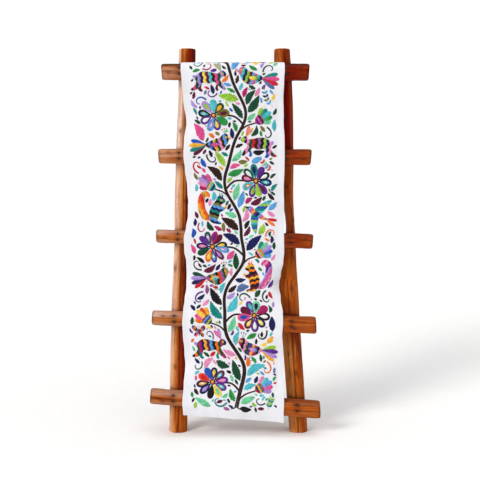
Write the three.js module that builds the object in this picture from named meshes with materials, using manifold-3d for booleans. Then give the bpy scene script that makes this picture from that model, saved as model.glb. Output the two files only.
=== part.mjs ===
// A white table runner hung over the top rung of a rustic pole ladder that leans back on a wall.
// Millimetres, +Z up. The front faces -Y, and the origin is on the floor, under the middle of the plan.
//
// Everything is laid out in the ladder's own frame, which is then leaned back:
//   X across the ladder, Y into its depth (the rungs' axes lie at Y = 0, the front is -Y),
//   Z up along the ladder, from a line FOOT above the floor.
import * as THREE from 'three';
import { mergeVertices } from 'three/addons/utils/BufferGeometryUtils.js';
import Module from 'manifold-3d';

const wasm = await Module();
wasm.setup();

// ---------------------------------------------------------------- sizes
const LEAN = THREE.MathUtils.degToRad(10);   // how far the ladder leans back from upright
const PLAN = { x: -0.45, y: 159.85 };         // middle of the leaned ladder's plan, in its own frame

const FOOT = 16;                             // how far the rails run on below Z = 0
const RAIL_DEPTH = 62;                       // front to back
const SADDLE = 9;                            // how deep each rung sits in its rails
const GAP = 0.3;                             // between pieces that touch
const SIDES = 14;                            // of a pole's section

const CLOTH_THICK = 2;                       // of the runner
const CLOTH_CLEAR = 2.4;                     // between the runner and the poles it lies on
const CLOTH_LENGTH = 2000;                   // cut length, hem to hem
const COLUMNS = 28;                          // steps across the runner

const NAIL = { head: 4.4, headDeep: 2.6, shank: 1.8, long: 78, proud: 0.6, up: 11, sunk: 1.2 };

// Rungs from the top: the ends' places, and the diameter at each end.
const RUNGS = [
  { name: 'rung_1', xl: -289.5, zl: 1411.2, dl: 61.5, xr: 292.2, zr: 1410.0, dr: 65.1 },
  { name: 'rung_2', xl: -301.3, zl: 1080.0, dl: 56.0, xr: 300.9, zr: 1077.2, dr: 60.4 },
  { name: 'rung_3', xl: -309.9, zl: 765.6, dl: 53.0, xr: 306.3, zr: 747.5, dr: 55.5 },
  { name: 'rung_4', xl: -325.2, zl: 445.3, dl: 58.8, xr: 315.8, zr: 417.9, dr: 65.9 },
  { name: 'rung_5', xl: -331.8, zl: 137.6, dl: 62.7, xr: 330.7, zr: 87.0, dr: 69.0 },
];
// Where the nails go through each rung, across the ladder.
const NAILS = [
  { rung: 'rung_1', left: -217.5, right: 203.0 },
  { rung: 'rung_2', left: -219, right: 202.5 },
  { rung: 'rung_3', left: -224, right: 215.0 },
  { rung: 'rung_4', left: -238, right: 221.0 },
  { rung: 'rung_5', left: -242, right: 243.5 },
];
// Rails: the outline's left and right edges at heights along the pole.
const RAIL_LEFT = [
  { z: -FOOT, l: -261.1, r: -189.3 },
  { z: 165, l: -258.5, r: -187.2 },
  { z: 361, l: -254.6, r: -184.4 },
  { z: 557, l: -247.9, r: -179.0 },
  { z: 753, l: -238.9, r: -171.1 },
  { z: 909, l: -238.9, r: -169.5 },
  { z: 1105, l: -233.0, r: -164.8 },
  { z: 1301, l: -224.4, r: -157.8 },
  { z: 1505, l: -222.5, r: -155.8 },
];
const RAIL_RIGHT = [
  { z: -FOOT, l: 215.8, r: 287.5 },
  { z: 165, l: 202.1, r: 274.6 },
  { z: 361, l: 187.2, r: 261.3 },
  { z: 557, l: 172.3, r: 250.3 },
  { z: 635, l: 179.3, r: 244.0 },
  { z: 706, l: 193.1, r: 242.8 },
  { z: 792, l: 205.0, r: 236.5 },
  { z: 851, l: 197.4, r: 231.5 },
  { z: 929, l: 187.2, r: 231.1 },
  { z: 1105, l: 171.5, r: 231.9 },
  { z: 1341, l: 161.7, r: 227.9 },
  { z: 1450, l: 155.0, r: 220.5 },
  { z: 1505, l: 155.0, r: 216.6 },
];

// The runner's front: its left and right edges down the ladder.
const CLOTH_EDGES = [
  { z: 37, l: -202.0, r: 190.3 },
  { z: 65, l: -202.4, r: 190.6 },
  { z: 114, l: -205.2, r: 191.9 },
  { z: 184, l: -200.1, r: 191.1 },
  { z: 259, l: -195.0, r: 189.5 },
  { z: 321, l: -198.5, r: 186.8 },
  { z: 380, l: -203.3, r: 184.8 },
  { z: 431, l: -205.6, r: 188.0 },
  { z: 470, l: -202.5, r: 187.2 },
  { z: 517, l: -197.0, r: 178.6 },
  { z: 568, l: -190.7, r: 172.3 },
  { z: 615, l: -189.9, r: 179.3 },
  { z: 666, l: -190.7, r: 189.5 },
  { z: 706, l: -197.8, r: 192.7 },
  { z: 757, l: -199.7, r: 191.9 },
  { z: 800, l: -191.1, r: 191.1 },
  { z: 851, l: -182.9, r: 191.9 },
  { z: 890, l: -182.5, r: 192.3 },
  { z: 949, l: -185.6, r: 190.7 },
  { z: 1027, l: -195.4, r: 193.4 },
  { z: 1078, l: -200.9, r: 194.2 },
  { z: 1145, l: -198.5, r: 193.5 },
  { z: 1203, l: -190.0, r: 190.3 },
  { z: 1301, l: -201.7, r: 189.5 },
  { z: 1380, l: -208.0, r: 192.3 },
  { z: 1411, l: -211.5, r: 194.6 },
];
const HEM = { left: 65, right: 37 };         // the front hem's height at its two corners
// How far the cloth sags in behind the rungs' fronts, in each span from the top.
const SAGS = [4, 6, 9, 12];
const CURL = { from: 0.68, share: 1.15, left: 205, right: 195 };   // side margins curl back where the edge draws in

// The part over the rung: angle round the rung from straight back (0) over the top (90) to the front (180).
const OVER = [
  { turn: 180, half: 203.0, mid: -8.5, wave: 0 },
  { turn: 150, half: 203.0, mid: -8.5, wave: 0 },
  { turn: 120, half: 203.0, mid: -8.5, wave: 0 },
  { turn: 100, half: 201.0, mid: -8.5, wave: 0 },
  { turn: 84, half: 194.0, mid: -7.0, wave: 0.4 },
  { turn: 68, half: 179.0, mid: -4.0, wave: 1.0 },
  { turn: 54, half: 164.0, mid: -2.0, wave: 2.6 },
  { turn: 40, half: 152.5, mid: 0, wave: 6.0 },
  { turn: 25, half: 148.0, mid: 0, wave: 11.0 },
  { turn: 10, half: 147.0, mid: 0, wave: 15.0 },
];
// The tail behind: depth below the rung, half width, and half the depth of its gathers.
const TAIL = [
  { down: 0, half: 147, wave: 15.0 },
  { down: 60, half: 147, wave: 17.6 },
  { down: 180, half: 150, wave: 17.4 },
  { down: 300, half: 157, wave: 15.8 },
  { down: 400, half: 174, wave: 12.0 },
  { down: 470, half: 186, wave: 8.6 },
  { down: 600, half: 194, wave: 6.0 },
];
const GATHERS = 3.5;                         // waves across the tail
const UNEVEN = { wide: 0.03, narrow: 0.012 };  // how their widths differ

// ---------------------------------------------------------------- helpers
const smooth = (a) => a * a * (3 - 2 * a);

// A value read from a table's column at a place along another column, eased between rows.
function read(table, along, column, at) {
  const up = table[table.length - 1][along] > table[0][along];
  const rows = up ? table : [...table].reverse();
  if (at <= rows[0][along]) return rows[0][column];
  for (let i = 1; i < rows.length; i++)
    if (at <= rows[i][along]) {
      const a = (at - rows[i - 1][along]) / (rows[i][along] - rows[i - 1][along]);
      return THREE.MathUtils.lerp(rows[i - 1][column], rows[i][column], smooth(a));
    }
  return rows[rows.length - 1][column];
}

// A rung's axis height, its radius and its place at a place across the ladder.
function rungAt(rung, x) {
  const a = THREE.MathUtils.clamp((x - rung.xl) / (rung.xr - rung.xl), 0, 1);
  return {
    z: THREE.MathUtils.lerp(rung.zl, rung.zr, a),
    radius: THREE.MathUtils.lerp(rung.dl, rung.dr, a) / 2,
  };
}

// Moves every vertex of a geometry by a function of its place, and merges the seams.
function shaped(geometry, place) {
  const g = geometry.clone();
  const position = g.getAttribute('position');
  const from = new THREE.Vector3();
  for (let i = 0; i < position.count; i++) {
    const to = place(from.fromBufferAttribute(position, i));
    position.setXYZ(i, to.x, to.y, to.z);
  }
  g.deleteAttribute('normal');
  g.deleteAttribute('uv');
  return mergeVertices(g, 1e-3);
}

function solidOf(geometry) {
  return new wasm.Manifold(new wasm.Mesh({
    numProp: 3,
    vertProperties: new Float32Array(geometry.getAttribute('position').array),
    triVerts: new Uint32Array(geometry.index.array),
  }));
}

function geometryOf(solid) {
  const mesh = solid.getMesh();
  const g = new THREE.BufferGeometry();
  g.setAttribute('position', new THREE.BufferAttribute(new Float32Array(mesh.vertProperties), 3));
  g.setIndex(new THREE.BufferAttribute(new Uint32Array(mesh.triVerts), 1));
  return g;
}

function cut(geometry, tools) {
  let solid = solidOf(geometry);
  for (const tool of tools) solid = solid.subtract(solidOf(tool));
  return geometryOf(solid);
}

// ---------------------------------------------------------------- the poles
// A rung lies along its own X, centred. Its ends are a little rounded.
const RUNG_STEPS = [0, 0.008, 0.022, 0.16, 0.34, 0.5, 0.66, 0.84, 0.978, 0.992, 1];
const RUNG_ROUND = [0.84, 0.94, 1, 1, 1, 1, 1, 1, 1, 0.94, 0.84];
function rungGeometry(rung, grow = 0) {
  const length = Math.hypot(rung.xr - rung.xl, rung.zr - rung.zl);
  const unit = new THREE.CylinderGeometry(1, 1, 1, SIDES, RUNG_STEPS.length - 1);
  return shaped(unit, (p) => {
    const step = Math.round((p.y + 0.5) * (RUNG_STEPS.length - 1));
    const a = RUNG_STEPS[step];
    const radius = (THREE.MathUtils.lerp(rung.dl, rung.dr, a) / 2) * (grow ? 1 : RUNG_ROUND[step]) + grow;
    return new THREE.Vector3((a - 0.5) * length, -p.x * radius, p.z * radius);
  });
}

// A rail stands along Z. Its foot is cut level with the floor, and its top is sawn square.
function railGeometry(table, back) {
  const steps = [];
  for (let i = 0; i + 1 < table.length; i++) {
    const n = Math.max(1, Math.round((table[i + 1].z - table[i].z) / 110));
    for (let k = 0; k < n; k++) steps.push(THREE.MathUtils.lerp(table[i].z, table[i + 1].z, k / n));
  }
  steps.push(table[table.length - 1].z);
  const unit = new THREE.CylinderGeometry(1, 1, 1, SIDES, steps.length - 1);
  return shaped(unit, (p) => {
    const step = Math.round((p.y + 0.5) * (steps.length - 1));
    const z = steps[step];
    const l = read(table, 'z', 'l', z), r = read(table, 'z', 'r', z);
    const y = back - p.z * (RAIL_DEPTH / 2);
    return new THREE.Vector3((l + r) / 2 + (p.x * (r - l)) / 2, y, step === 0 ? y * Math.tan(LEAN) - FOOT : z);
  });
}

const mean = (rows, pick) => rows.reduce((sum, row) => sum + pick(row), 0) / rows.length;
const RAIL_BACK = mean(RUNGS, (r) => (r.dl + r.dr) / 4) + RAIL_DEPTH / 2 - SADDLE;   // the rails' axes, behind the rungs'

// A nail lies along its own Y, its head towards -Y.
function nailGeometry(grow = 0) {
  const deep = NAIL.headDeep + grow, long = NAIL.long + grow;
  const profile = grow
    ? [[0, -40], [NAIL.head + grow, -40], [NAIL.head + grow, deep], [NAIL.shank + grow, deep], [NAIL.shank + grow, long], [0, long]]
    : [[0, -NAIL.proud], [NAIL.head * 0.72, -NAIL.proud * 0.8], [NAIL.head, 0.2], [NAIL.head, deep], [NAIL.shank, deep], [NAIL.shank, long - 5], [0, long]];
  return shaped(new THREE.LatheGeometry(profile.map(([r, y]) => new THREE.Vector2(r, y)), 10), (p) => p.clone());
}

// ---------------------------------------------------------------- the runner
// How far in front of the rungs' axes the cloth's middle lies, at a place across and along the ladder.
const LIFT = CLOTH_CLEAR + CLOTH_THICK / 2;
function frontDepth(x, z, curl) {
  const at = RUNGS.map((rung) => rungAt(rung, x));
  const out = at.map((r) => r.radius + LIFT);
  if (z >= at[0].z) return out[0];
  for (let i = 0; i + 1 < at.length; i++)
    if (z >= at[i + 1].z) {
      const a = (at[i].z - z) / (at[i].z - at[i + 1].z);
      return THREE.MathUtils.lerp(out[i], out[i + 1], a) - (SAGS[i] + curl) * Math.sin(Math.PI * a) ** 2;
    }
  const below = at[at.length - 1].z - z;             // the free end hangs plumb, so it swings in under the rung
  return out[out.length - 1] - below * Math.tan(LEAN) * smooth(Math.min(1, below / 75));
}

function frontPoint(across, z) {
  const l = read(CLOTH_EDGES, 'z', 'l', z), r = read(CLOTH_EDGES, 'z', 'r', z);
  const x = THREE.MathUtils.lerp(l, r, (across + 1) / 2);
  const drawn = across < 0 ? CURL.left + l : CURL.right - r;
  const margin = Math.max(0, (Math.abs(across) - CURL.from) / (1 - CURL.from));
  return new THREE.Vector3(x, -frontDepth(x, z, CURL.share * Math.max(0, drawn) * margin * margin), z);
}

const gather = (across) => {
  const a = (across + 1) / 2;
  return 1 - Math.cos(2 * Math.PI * GATHERS * (a + UNEVEN.wide * Math.sin(2 * Math.PI * a) + UNEVEN.narrow * Math.sin(5 * Math.PI * a)));
};

function overPoint(across, turn) {
  const x = read(OVER, 'turn', 'mid', turn) + across * read(OVER, 'turn', 'half', turn);
  const rung = rungAt(RUNGS[0], x);
  const reach = rung.radius + LIFT + read(OVER, 'turn', 'wave', turn) * gather(across);
  const a = THREE.MathUtils.degToRad(turn);
  return new THREE.Vector3(x, reach * Math.cos(a), rung.z + reach * Math.sin(a));
}

function tailPoint(across, down) {
  const x = across * read(TAIL, 'down', 'half', down);
  const top = overPoint(across, 10);
  const rung = rungAt(RUNGS[0], x);
  const back = (rung.radius + LIFT) * Math.cos(LEAN) + down * Math.sin(LEAN)
    + (read(TAIL, 'down', 'wave', down) * gather(across)) * Math.cos(LEAN);
  const lift = (rung.radius + LIFT) * Math.sin(LEAN) + read(TAIL, 'down', 'wave', down) * gather(across) * Math.sin(LEAN);
  return new THREE.Vector3(x, down === 0 ? top.y : back, down === 0 ? top.z : rung.z + lift - down * Math.cos(LEAN));
}

// Steps along the cloth, from the front hem, over the rung, to the end of the tail.
const FRONT_STEPS = 36, OVER_STEPS = 11, TAIL_STEPS = 13;
const FRONT_LENGTH = (RUNGS[0].zl + RUNGS[0].zr - HEM.left - HEM.right) / 2 + 4;
const OVER_LENGTH = (RUNGS[0].dl / 4 + RUNGS[0].dr / 4 + LIFT) * THREE.MathUtils.degToRad(170);
const TAIL_LENGTH = CLOTH_LENGTH - FRONT_LENGTH - OVER_LENGTH;

// A point of the cloth's middle: across from -1 to 1, along from 0 (front hem) to 1 (front), 2 (over) and 3 (tail).
function clothPoint(across, along) {
  if (along <= 1) {
    const a = (across + 1) / 2;
    const hem = THREE.MathUtils.lerp(HEM.left, HEM.right, a);
    const top = THREE.MathUtils.lerp(RUNGS[0].zl, RUNGS[0].zr, a);
    return frontPoint(across, THREE.MathUtils.lerp(hem, top, along));
  }
  if (along <= 2) return overPoint(across, THREE.MathUtils.lerp(180, 10, along - 1));
  return tailPoint(across, TAIL_LENGTH * (along - 2));
}

function runnerGeometry() {
  const along = [];
  for (let i = 0; i < FRONT_STEPS; i++) along.push(i / FRONT_STEPS);
  for (let i = 0; i < OVER_STEPS; i++) along.push(1 + i / OVER_STEPS);
  for (let i = 0; i <= TAIL_STEPS; i++) along.push(2 + i / TAIL_STEPS);
  const unit = new THREE.BoxGeometry(2, 1, 1, COLUMNS, along.length - 1, 1);
  const d = 1e-3;
  return shaped(unit, (p) => {
    const v = along[Math.round((p.y + 0.5) * (along.length - 1))];
    const here = clothPoint(p.x, v);
    const acrossWay = clothPoint(Math.min(1, p.x + d), v).sub(clothPoint(Math.max(-1, p.x - d), v));
    const alongWay = clothPoint(p.x, Math.min(3, v + d)).sub(clothPoint(p.x, Math.max(0, v - d)));
    const out = acrossWay.cross(alongWay).normalize();
    return here.addScaledVector(out, p.z * CLOTH_THICK);
  });
}

// ---------------------------------------------------------------- the object
const WOOD = { colour: 0x8a4a22, roughness: 0.5, metalness: 0 };
const wood = () => new THREE.MeshStandardMaterial({ color: WOOD.colour, roughness: WOOD.roughness, metalness: WOOD.metalness });
const iron = () => new THREE.MeshStandardMaterial({ color: 0x2a211c, roughness: 0.6, metalness: 0.8 });
const cotton = () => new THREE.MeshStandardMaterial({ color: 0xf1eff2, roughness: 0.95, metalness: 0 });

const ladder = new THREE.Group();
ladder.rotation.x = -LEAN;
ladder.position.set(-PLAN.x, -PLAN.y, FOOT * Math.cos(LEAN));

const railTools = { rail_left: [], rail_right: [] };
const nailHole = nailGeometry(GAP);
for (const rung of RUNGS) {
  const group = new THREE.Group();
  group.position.set((rung.xl + rung.xr) / 2, 0, (rung.zl + rung.zr) / 2);
  group.rotation.y = -Math.atan2(rung.zr - rung.zl, rung.xr - rung.xl);
  group.updateMatrix();

  const saddle = rungGeometry(rung, GAP).applyMatrix4(group.matrix);
  railTools.rail_left.push(saddle);
  railTools.rail_right.push(saddle);

  const nails = NAILS.find((row) => row.rung === rung.name);
  const holes = [];
  [nails.left, nails.right].forEach((x, side) => {
    [1, -1].forEach((sign, row) => {
      const nail = new THREE.Mesh(nailGeometry(), iron());
      nail.name = `nail_${rung.name.slice(-1)}${'abcd'[side * 2 + row]}`;
      const radius = rungAt(rung, x).radius;
      nail.position.set(x - group.position.x, -Math.sqrt(radius ** 2 - NAIL.up ** 2) + NAIL.sunk, sign * NAIL.up);
      nail.updateMatrix();
      group.add(nail);
      const hole = nailHole.clone().applyMatrix4(nail.matrix);
      holes.push(hole);
      railTools[side ? 'rail_right' : 'rail_left'].push(hole.clone().applyMatrix4(group.matrix));
    });
  });

  const mesh = new THREE.Mesh(cut(rungGeometry(rung), holes), wood());
  mesh.name = rung.name;
  group.add(mesh);
  ladder.add(group);
}

for (const [name, table] of [['rail_left', RAIL_LEFT], ['rail_right', RAIL_RIGHT]]) {
  const mesh = new THREE.Mesh(cut(railGeometry(table, RAIL_BACK), railTools[name]), wood());
  mesh.name = name;
  ladder.add(mesh);
}

const runner = new THREE.Mesh(runnerGeometry(), cotton());
runner.name = 'runner';
ladder.add(runner);

const object = new THREE.Group();
object.add(ladder);

export default object;
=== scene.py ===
"""An embroidered cotton runner over a rustic pole ladder, in metres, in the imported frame."""
import math

import bpy
import numpy as np
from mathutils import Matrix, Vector


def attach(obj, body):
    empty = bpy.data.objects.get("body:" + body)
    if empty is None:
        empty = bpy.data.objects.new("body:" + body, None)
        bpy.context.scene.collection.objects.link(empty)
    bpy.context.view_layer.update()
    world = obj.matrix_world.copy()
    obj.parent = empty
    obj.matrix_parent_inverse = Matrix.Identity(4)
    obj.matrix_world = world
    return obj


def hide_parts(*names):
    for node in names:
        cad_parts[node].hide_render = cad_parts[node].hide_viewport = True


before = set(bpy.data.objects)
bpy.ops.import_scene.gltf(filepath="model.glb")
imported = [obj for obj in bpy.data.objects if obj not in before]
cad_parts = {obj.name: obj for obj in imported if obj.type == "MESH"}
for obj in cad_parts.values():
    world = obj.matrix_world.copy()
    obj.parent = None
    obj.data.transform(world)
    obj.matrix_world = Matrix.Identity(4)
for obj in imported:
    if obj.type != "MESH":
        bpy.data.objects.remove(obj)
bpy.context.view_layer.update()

# ------------------------------------------------------------------ the frame's sizes, in mm
# All is laid out square to the ladder (x across, y into it, z up along it), then leant back.
LEAN = math.radians(10)
PLAN = (-0.45, 159.85)
LADDER_LENGTH, RAIL_DEPTH, SADDLE, GAP = 1505.0, 62.0, 9.0, 0.3
FOOT = 16.0                                  # how far the rails run on below z = 0
LIFT = 3.4                                   # from a rung to the middle of the cloth
RUNGS = [  # left x, z, thick; right x, z, thick
    (-289.5, 1411.2, 61.5, 292.2, 1410.0, 65.1),
    (-301.3, 1080.0, 56.0, 300.9, 1077.2, 60.4),
    (-309.9, 765.6, 53.0, 306.3, 747.5, 55.5),
    (-325.2, 445.3, 58.8, 315.8, 417.9, 65.9),
    (-331.8, 137.6, 62.7, 330.7, 87.0, 69.0),
]
NAIL_X = [(-217.5, 203.0), (-219.0, 202.5), (-224.0, 215.0), (-238.0, 221.0), (-242.0, 243.5)]
RAIL_LEFT = [  # z, left, right
    (-FOOT, -261.1, -189.3), (165, -258.5, -187.2), (361, -254.6, -184.4), (557, -247.9, -179.0), (753, -238.9, -171.1),
    (909, -238.9, -169.5), (1105, -233.0, -164.8), (1301, -224.4, -157.8), (1505, -222.5, -155.8),
]
RAIL_RIGHT = [
    (-FOOT, 215.8, 287.5), (165, 202.1, 274.6), (361, 187.2, 261.3), (557, 172.3, 250.3), (635, 179.3, 244.0), (706, 193.1, 242.8), (792, 205.0, 236.5),
    (851, 197.4, 231.5), (929, 187.2, 231.1), (1105, 171.5, 231.9), (1341, 161.7, 227.9), (1450, 155.0, 220.5), (1505, 155.0, 216.6),
]
CLOTH_EDGES = [  # z, left, right
    (37, -202.0, 190.3), (65, -202.4, 190.6), (114, -205.2, 191.9), (184, -200.1, 191.1), (259, -195.0, 189.5), (321, -198.5, 186.8),
    (380, -203.3, 184.8), (431, -205.6, 188.0), (470, -202.5, 187.2), (517, -197.0, 178.6), (568, -190.7, 172.3), (615, -189.9, 179.3),
    (666, -190.7, 189.5), (706, -197.8, 192.7), (757, -199.7, 191.9), (800, -191.1, 191.1), (851, -182.9, 191.9), (890, -182.5, 192.3),
    (949, -185.6, 190.7), (1027, -195.4, 193.4), (1078, -200.9, 194.2), (1145, -198.5, 193.5), (1203, -190.0, 190.3), (1301, -201.7, 189.5),
    (1380, -208.0, 192.3), (1411, -211.5, 194.6),
]
HEM = {"left": 65.0, "right": 37.0}
SAGS = [4.0, 6.0, 9.0, 12.0]
CURL = {"from": 0.68, "share": 1.15, "left": 205.0, "right": 195.0}
OVER = [  # turn, half width, middle, wave
    (10, 147, 0, 15), (25, 148, 0, 11), (40, 152.5, 0, 6), (54, 164, -2, 2.6), (68, 179, -4, 1), (84, 194, -7, 0.4),
    (100, 201, -8.5, 0), (120, 203, -8.5, 0), (150, 203, -8.5, 0), (180, 203, -8.5, 0),
]
TAIL = [(0, 147, 15), (60, 147, 17.6), (180, 150, 17.4), (300, 157, 15.8), (400, 174, 12), (470, 186, 8.6), (600, 194, 6)]  # down, half width, wave
GATHERS, UNEVEN = 3.5, (0.03, 0.012)
FRONT_LENGTH, OVER_LENGTH, TAIL_LENGTH = 1363.6, 104.0, 532.4


def to_world(p):
    """From the ladder's own frame in mm to the row's frame in metres."""
    x, y, z = p[..., 0], p[..., 1], p[..., 2]
    c, s = math.cos(LEAN), math.sin(LEAN)
    return np.stack([x - PLAN[0], y * c + z * s - PLAN[1], (z + FOOT) * c - y * s], axis=-1) * 0.001


def smooth(a):
    a = np.clip(a, 0, 1)
    return a * a * (3 - 2 * a)


def read(table, column, at):
    """A table's column at a place, eased from row to row."""
    t = np.asarray(table, float)
    xs, ys = t[:, 0], t[:, column]
    at = np.clip(np.asarray(at, float), xs[0], xs[-1])
    i = np.clip(np.searchsorted(xs, at, side="left") - 1, 0, len(xs) - 2)
    return ys[i] + (ys[i + 1] - ys[i]) * smooth((at - xs[i]) / (xs[i + 1] - xs[i]))


def lattice(u, v, cell, seed):
    """Smooth noise from -1 to 1 on cells of a size."""
    r = np.random.default_rng(seed).uniform(-1, 1, (64, 256))
    a, b = np.asarray(u, float) / cell + 32, np.asarray(v, float) / cell + 4
    i, j = np.floor(a).astype(int), np.floor(b).astype(int)
    fa, fb = smooth(a - i), smooth(b - j)
    i, j = i % 63, j % 255
    return (r[i, j] * (1 - fa) + r[i + 1, j] * fa) * (1 - fb) + (r[i, j + 1] * (1 - fa) + r[i + 1, j + 1] * fa) * fb


# ------------------------------------------------------------------ the runner's surface
def rung_at(k, x):
    xl, zl, dl, xr, zr, dr = RUNGS[k]
    a = np.clip((x - xl) / (xr - xl), 0, 1)
    return zl + (zr - zl) * a, (dl + (dr - dl) * a) / 2


def front_point(across, z):
    left, right = read(CLOTH_EDGES, 1, z), read(CLOTH_EDGES, 2, z)
    x = left + (right - left) * (across + 1) / 2
    drawn = np.maximum(0, np.where(across < 0, CURL["left"] + left, CURL["right"] - right))
    margin = np.maximum(0, (np.abs(across) - CURL["from"]) / (1 - CURL["from"]))
    curl = CURL["share"] * drawn * margin**2
    at = [rung_at(k, x) for k in range(5)]
    depth = at[0][1] + LIFT
    for i in range(4):
        (z0, r0), (z1, r1) = at[i], at[i + 1]
        a = (z0 - z) / (z0 - z1)
        hung = (r0 + LIFT) * (1 - a) + (r1 + LIFT) * a - (SAGS[i] + curl) * np.sin(np.pi * a) ** 2
        depth = np.where((z < z0) & (z >= z1), hung, depth)
    below = at[4][0] - z
    swung = at[4][1] + LIFT - below * math.tan(LEAN) * smooth(below / 75)
    depth = np.where(below > 0, swung, depth)
    return np.stack([x, -depth, z + 0 * x], axis=-1)


def gather(across):
    a = (across + 1) / 2
    return 1 - np.cos(2 * np.pi * GATHERS * (a + UNEVEN[0] * np.sin(2 * np.pi * a) + UNEVEN[1] * np.sin(5 * np.pi * a)))


def over_point(across, turn):
    x = read(OVER, 2, turn) + across * read(OVER, 1, turn)
    z, r = rung_at(0, x)
    reach = r + LIFT + read(OVER, 3, turn) * gather(across)
    t = np.radians(turn)
    return np.stack([x, reach * np.cos(t), z + reach * np.sin(t)], axis=-1)


def tail_point(across, down):
    x = across * read(TAIL, 1, down)
    z, r = rung_at(0, x)
    out = r + LIFT + read(TAIL, 2, down) * gather(across)
    c, s = math.cos(LEAN), math.sin(LEAN)
    return np.stack([x, out * c + down * s, z + out * s - down * c], axis=-1)


def cloth_middle(u, v):
    """The middle of the cloth for flat coordinates in mm."""
    across = u / (RUNNER_W / 2)
    a = (across + 1) / 2
    hem = HEM["left"] + (HEM["right"] - HEM["left"]) * a
    top = rung_at(0, -8.5 + across * 203)[0]
    front = front_point(across, hem + (top - hem) * np.clip(v / FRONT_LENGTH, 0, 1))
    over = over_point(across, 180 - 170 * np.clip((v - FRONT_LENGTH) / OVER_LENGTH, 0, 1))
    tail = tail_point(across, np.maximum(0, v - FRONT_LENGTH - OVER_LENGTH))
    v = v[..., None]
    return np.where(v < FRONT_LENGTH, front, np.where(v < FRONT_LENGTH + OVER_LENGTH, over, tail))


# Creases: from, to, how wide, how high (a trough is below 0), in flat mm.
CREASES = [
    (-203, 846, -128, 800, 15, -2.2), (-203, 880, -120, 905, 13, 1.6), (203, 548, 118, 585, 16, -2.4), (203, 520, 130, 500, 12, 1.5),
    (-203, 560, -118, 600, 15, -1.8), (-203, 1190, -130, 1230, 14, -1.8), (168, 985, 172, 1330, 9, -1.3), (184, 1010, 182, 1340, 7, 0.9),
    (-130, 0, -112, 92, 15, 2.0), (-60, 0, -70, 70, 12, -1.6), (28, 0, 40, 84, 15, 1.7), (92, 0, 84, 62, 11, -1.5), (150, 0, 156, 96, 13, 1.8),
    (203, 250, 120, 236, 14, -1.5), (-203, 250, -140, 262, 13, -1.6), (-176, 640, -170, 800, 10, -1.2), (176, 700, 170, 900, 10, 1.1),
    (-100, 1290, 110, 1286, 12, -0.8), (-150, 970, 120, 990, 16, -0.8),
]


MARGINS = [  # v, how deep the soft trough along the left margin and the right margin is, mm
    (0, 1.3, 0.8), (300, 1.5, 1.2), (470, 0.9, 0.6), (560, 0.4, 0.5), (680, 0.6, 2.2), (860, 0.5, 3.0), (1000, 1.0, 3.2), (1200, 1.5, 3.4), (1330, 1.1, 2.6), (1390, 0.3, 0.4), (2000, 0.3, 0.3),
]


def rumple(u, v):
    """How far the cloth stands off its smooth shape: puckers by the stitching, soft swells, creases, and a lively edge."""
    near = 1.0
    for k, row in enumerate(RUNGS):
        z, _ = rung_at(k, u)
        a = (u / (RUNNER_W / 2) + 1) / 2
        hem = HEM["left"] + (HEM["right"] - HEM["left"]) * a
        at = (z - hem) / (RUNGS[0][1] - hem) * FRONT_LENGTH
        near = near * (1 - 0.8 * np.exp(-(((v - at) / 45.0) ** 2)))
    on_top = np.exp(-(np.clip(np.abs(v - FRONT_LENGTH - 45) - 45, 0, None) / 60.0) ** 2)
    near = near * (1 - 0.85 * on_top)
    d = 0.55 * lattice(u, v, 26, 3) + 0.3 * lattice(u, v, 13, 5)
    d = d + near * (1.7 * lattice(u, v, 105, 7) + 1.0 * lattice(u, v, 55, 9))
    for u0, v0, u1, v1, wide, high in CREASES:
        a, b = np.array([u0, v0], float), np.array([u1 - u0, v1 - v0], float)
        t = np.clip(((u - a[0]) * b[0] + (v - a[1]) * b[1]) / (b @ b), 0, 1)
        off2 = (u - a[0] - t * b[0]) ** 2 + (v - a[1] - t * b[1]) ** 2
        d = d + near * high * (1 - 0.65 * t) * np.exp(-off2 / (0.5 * wide) ** 2 / 2)
    trough = np.where(u < 0, read(MARGINS, 1, v), read(MARGINS, 2, v)) * (0.85 + 0.35 * lattice(u * 0 + np.sign(u) * 200, v, 90, 19))
    line_at = 179 + 5 * lattice(u * 0 + np.sign(u) * 300, v, 120, 21)
    d = d - (0.45 + 0.55 * near) * trough * np.exp(-(((np.abs(u) - line_at) / 9.5) ** 2))
    edge = np.clip((np.abs(u) - 168) / 34, 0, 1) ** 2
    d = d + near * edge * (3.6 * lattice(u * 0 + np.sign(u) * 90, v, 38, 11) + 1.4 * lattice(u * 0 + np.sign(u) * 40, v, 17, 13))
    end = np.clip(1 - v / 42, 0, 1) ** 2 + np.clip(1 - (RUNNER_L - v) / 42, 0, 1) ** 2
    d = d + end * (3.0 * lattice(u, v * 0 + 500, 44, 15) + 1.0 * lattice(u, v * 0 + 300, 19, 17))
    return np.maximum(d, -1.9)


RUNNER_W, RUNNER_L = 405.0, 2000.0
half_u = np.array([0, 5.5, 11, 16.5, 22, 27.5, 33, 38.5, 44, 49.5, 55, 60.5, 66, 71.5, 77, 82.5, 88, 93.5, 99, 104.5, 110, 115.5, 121, 126.5, 132, 137.5, 143,
                   148.5, 154, 159.5, 165, 170, 175, 180, 184, 188, 191, 192.4, 193.4, 197, 200, 201.7, 202.3, 202.5])
US = np.concatenate([-half_u[:0:-1], half_u])
VS = np.concatenate([[0, 0.25, 0.9, 3, 6.5, 9.4, 10.4, 13], np.arange(18, 1356, 6.4), np.arange(1360, 1475, 4.0), np.arange(1479, 1986, 6.4), [1987, 1989.6, 1990.6, 1993.5, 1997, 1999.1, 1999.75, 2000]])
GU, GV = np.meshgrid(US, VS)


def normals_of(grid):
    du, dv = np.gradient(grid, US, axis=1), np.gradient(grid, VS, axis=0)
    n = np.cross(du, dv)
    return n / np.linalg.norm(n, axis=-1, keepdims=True)


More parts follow.
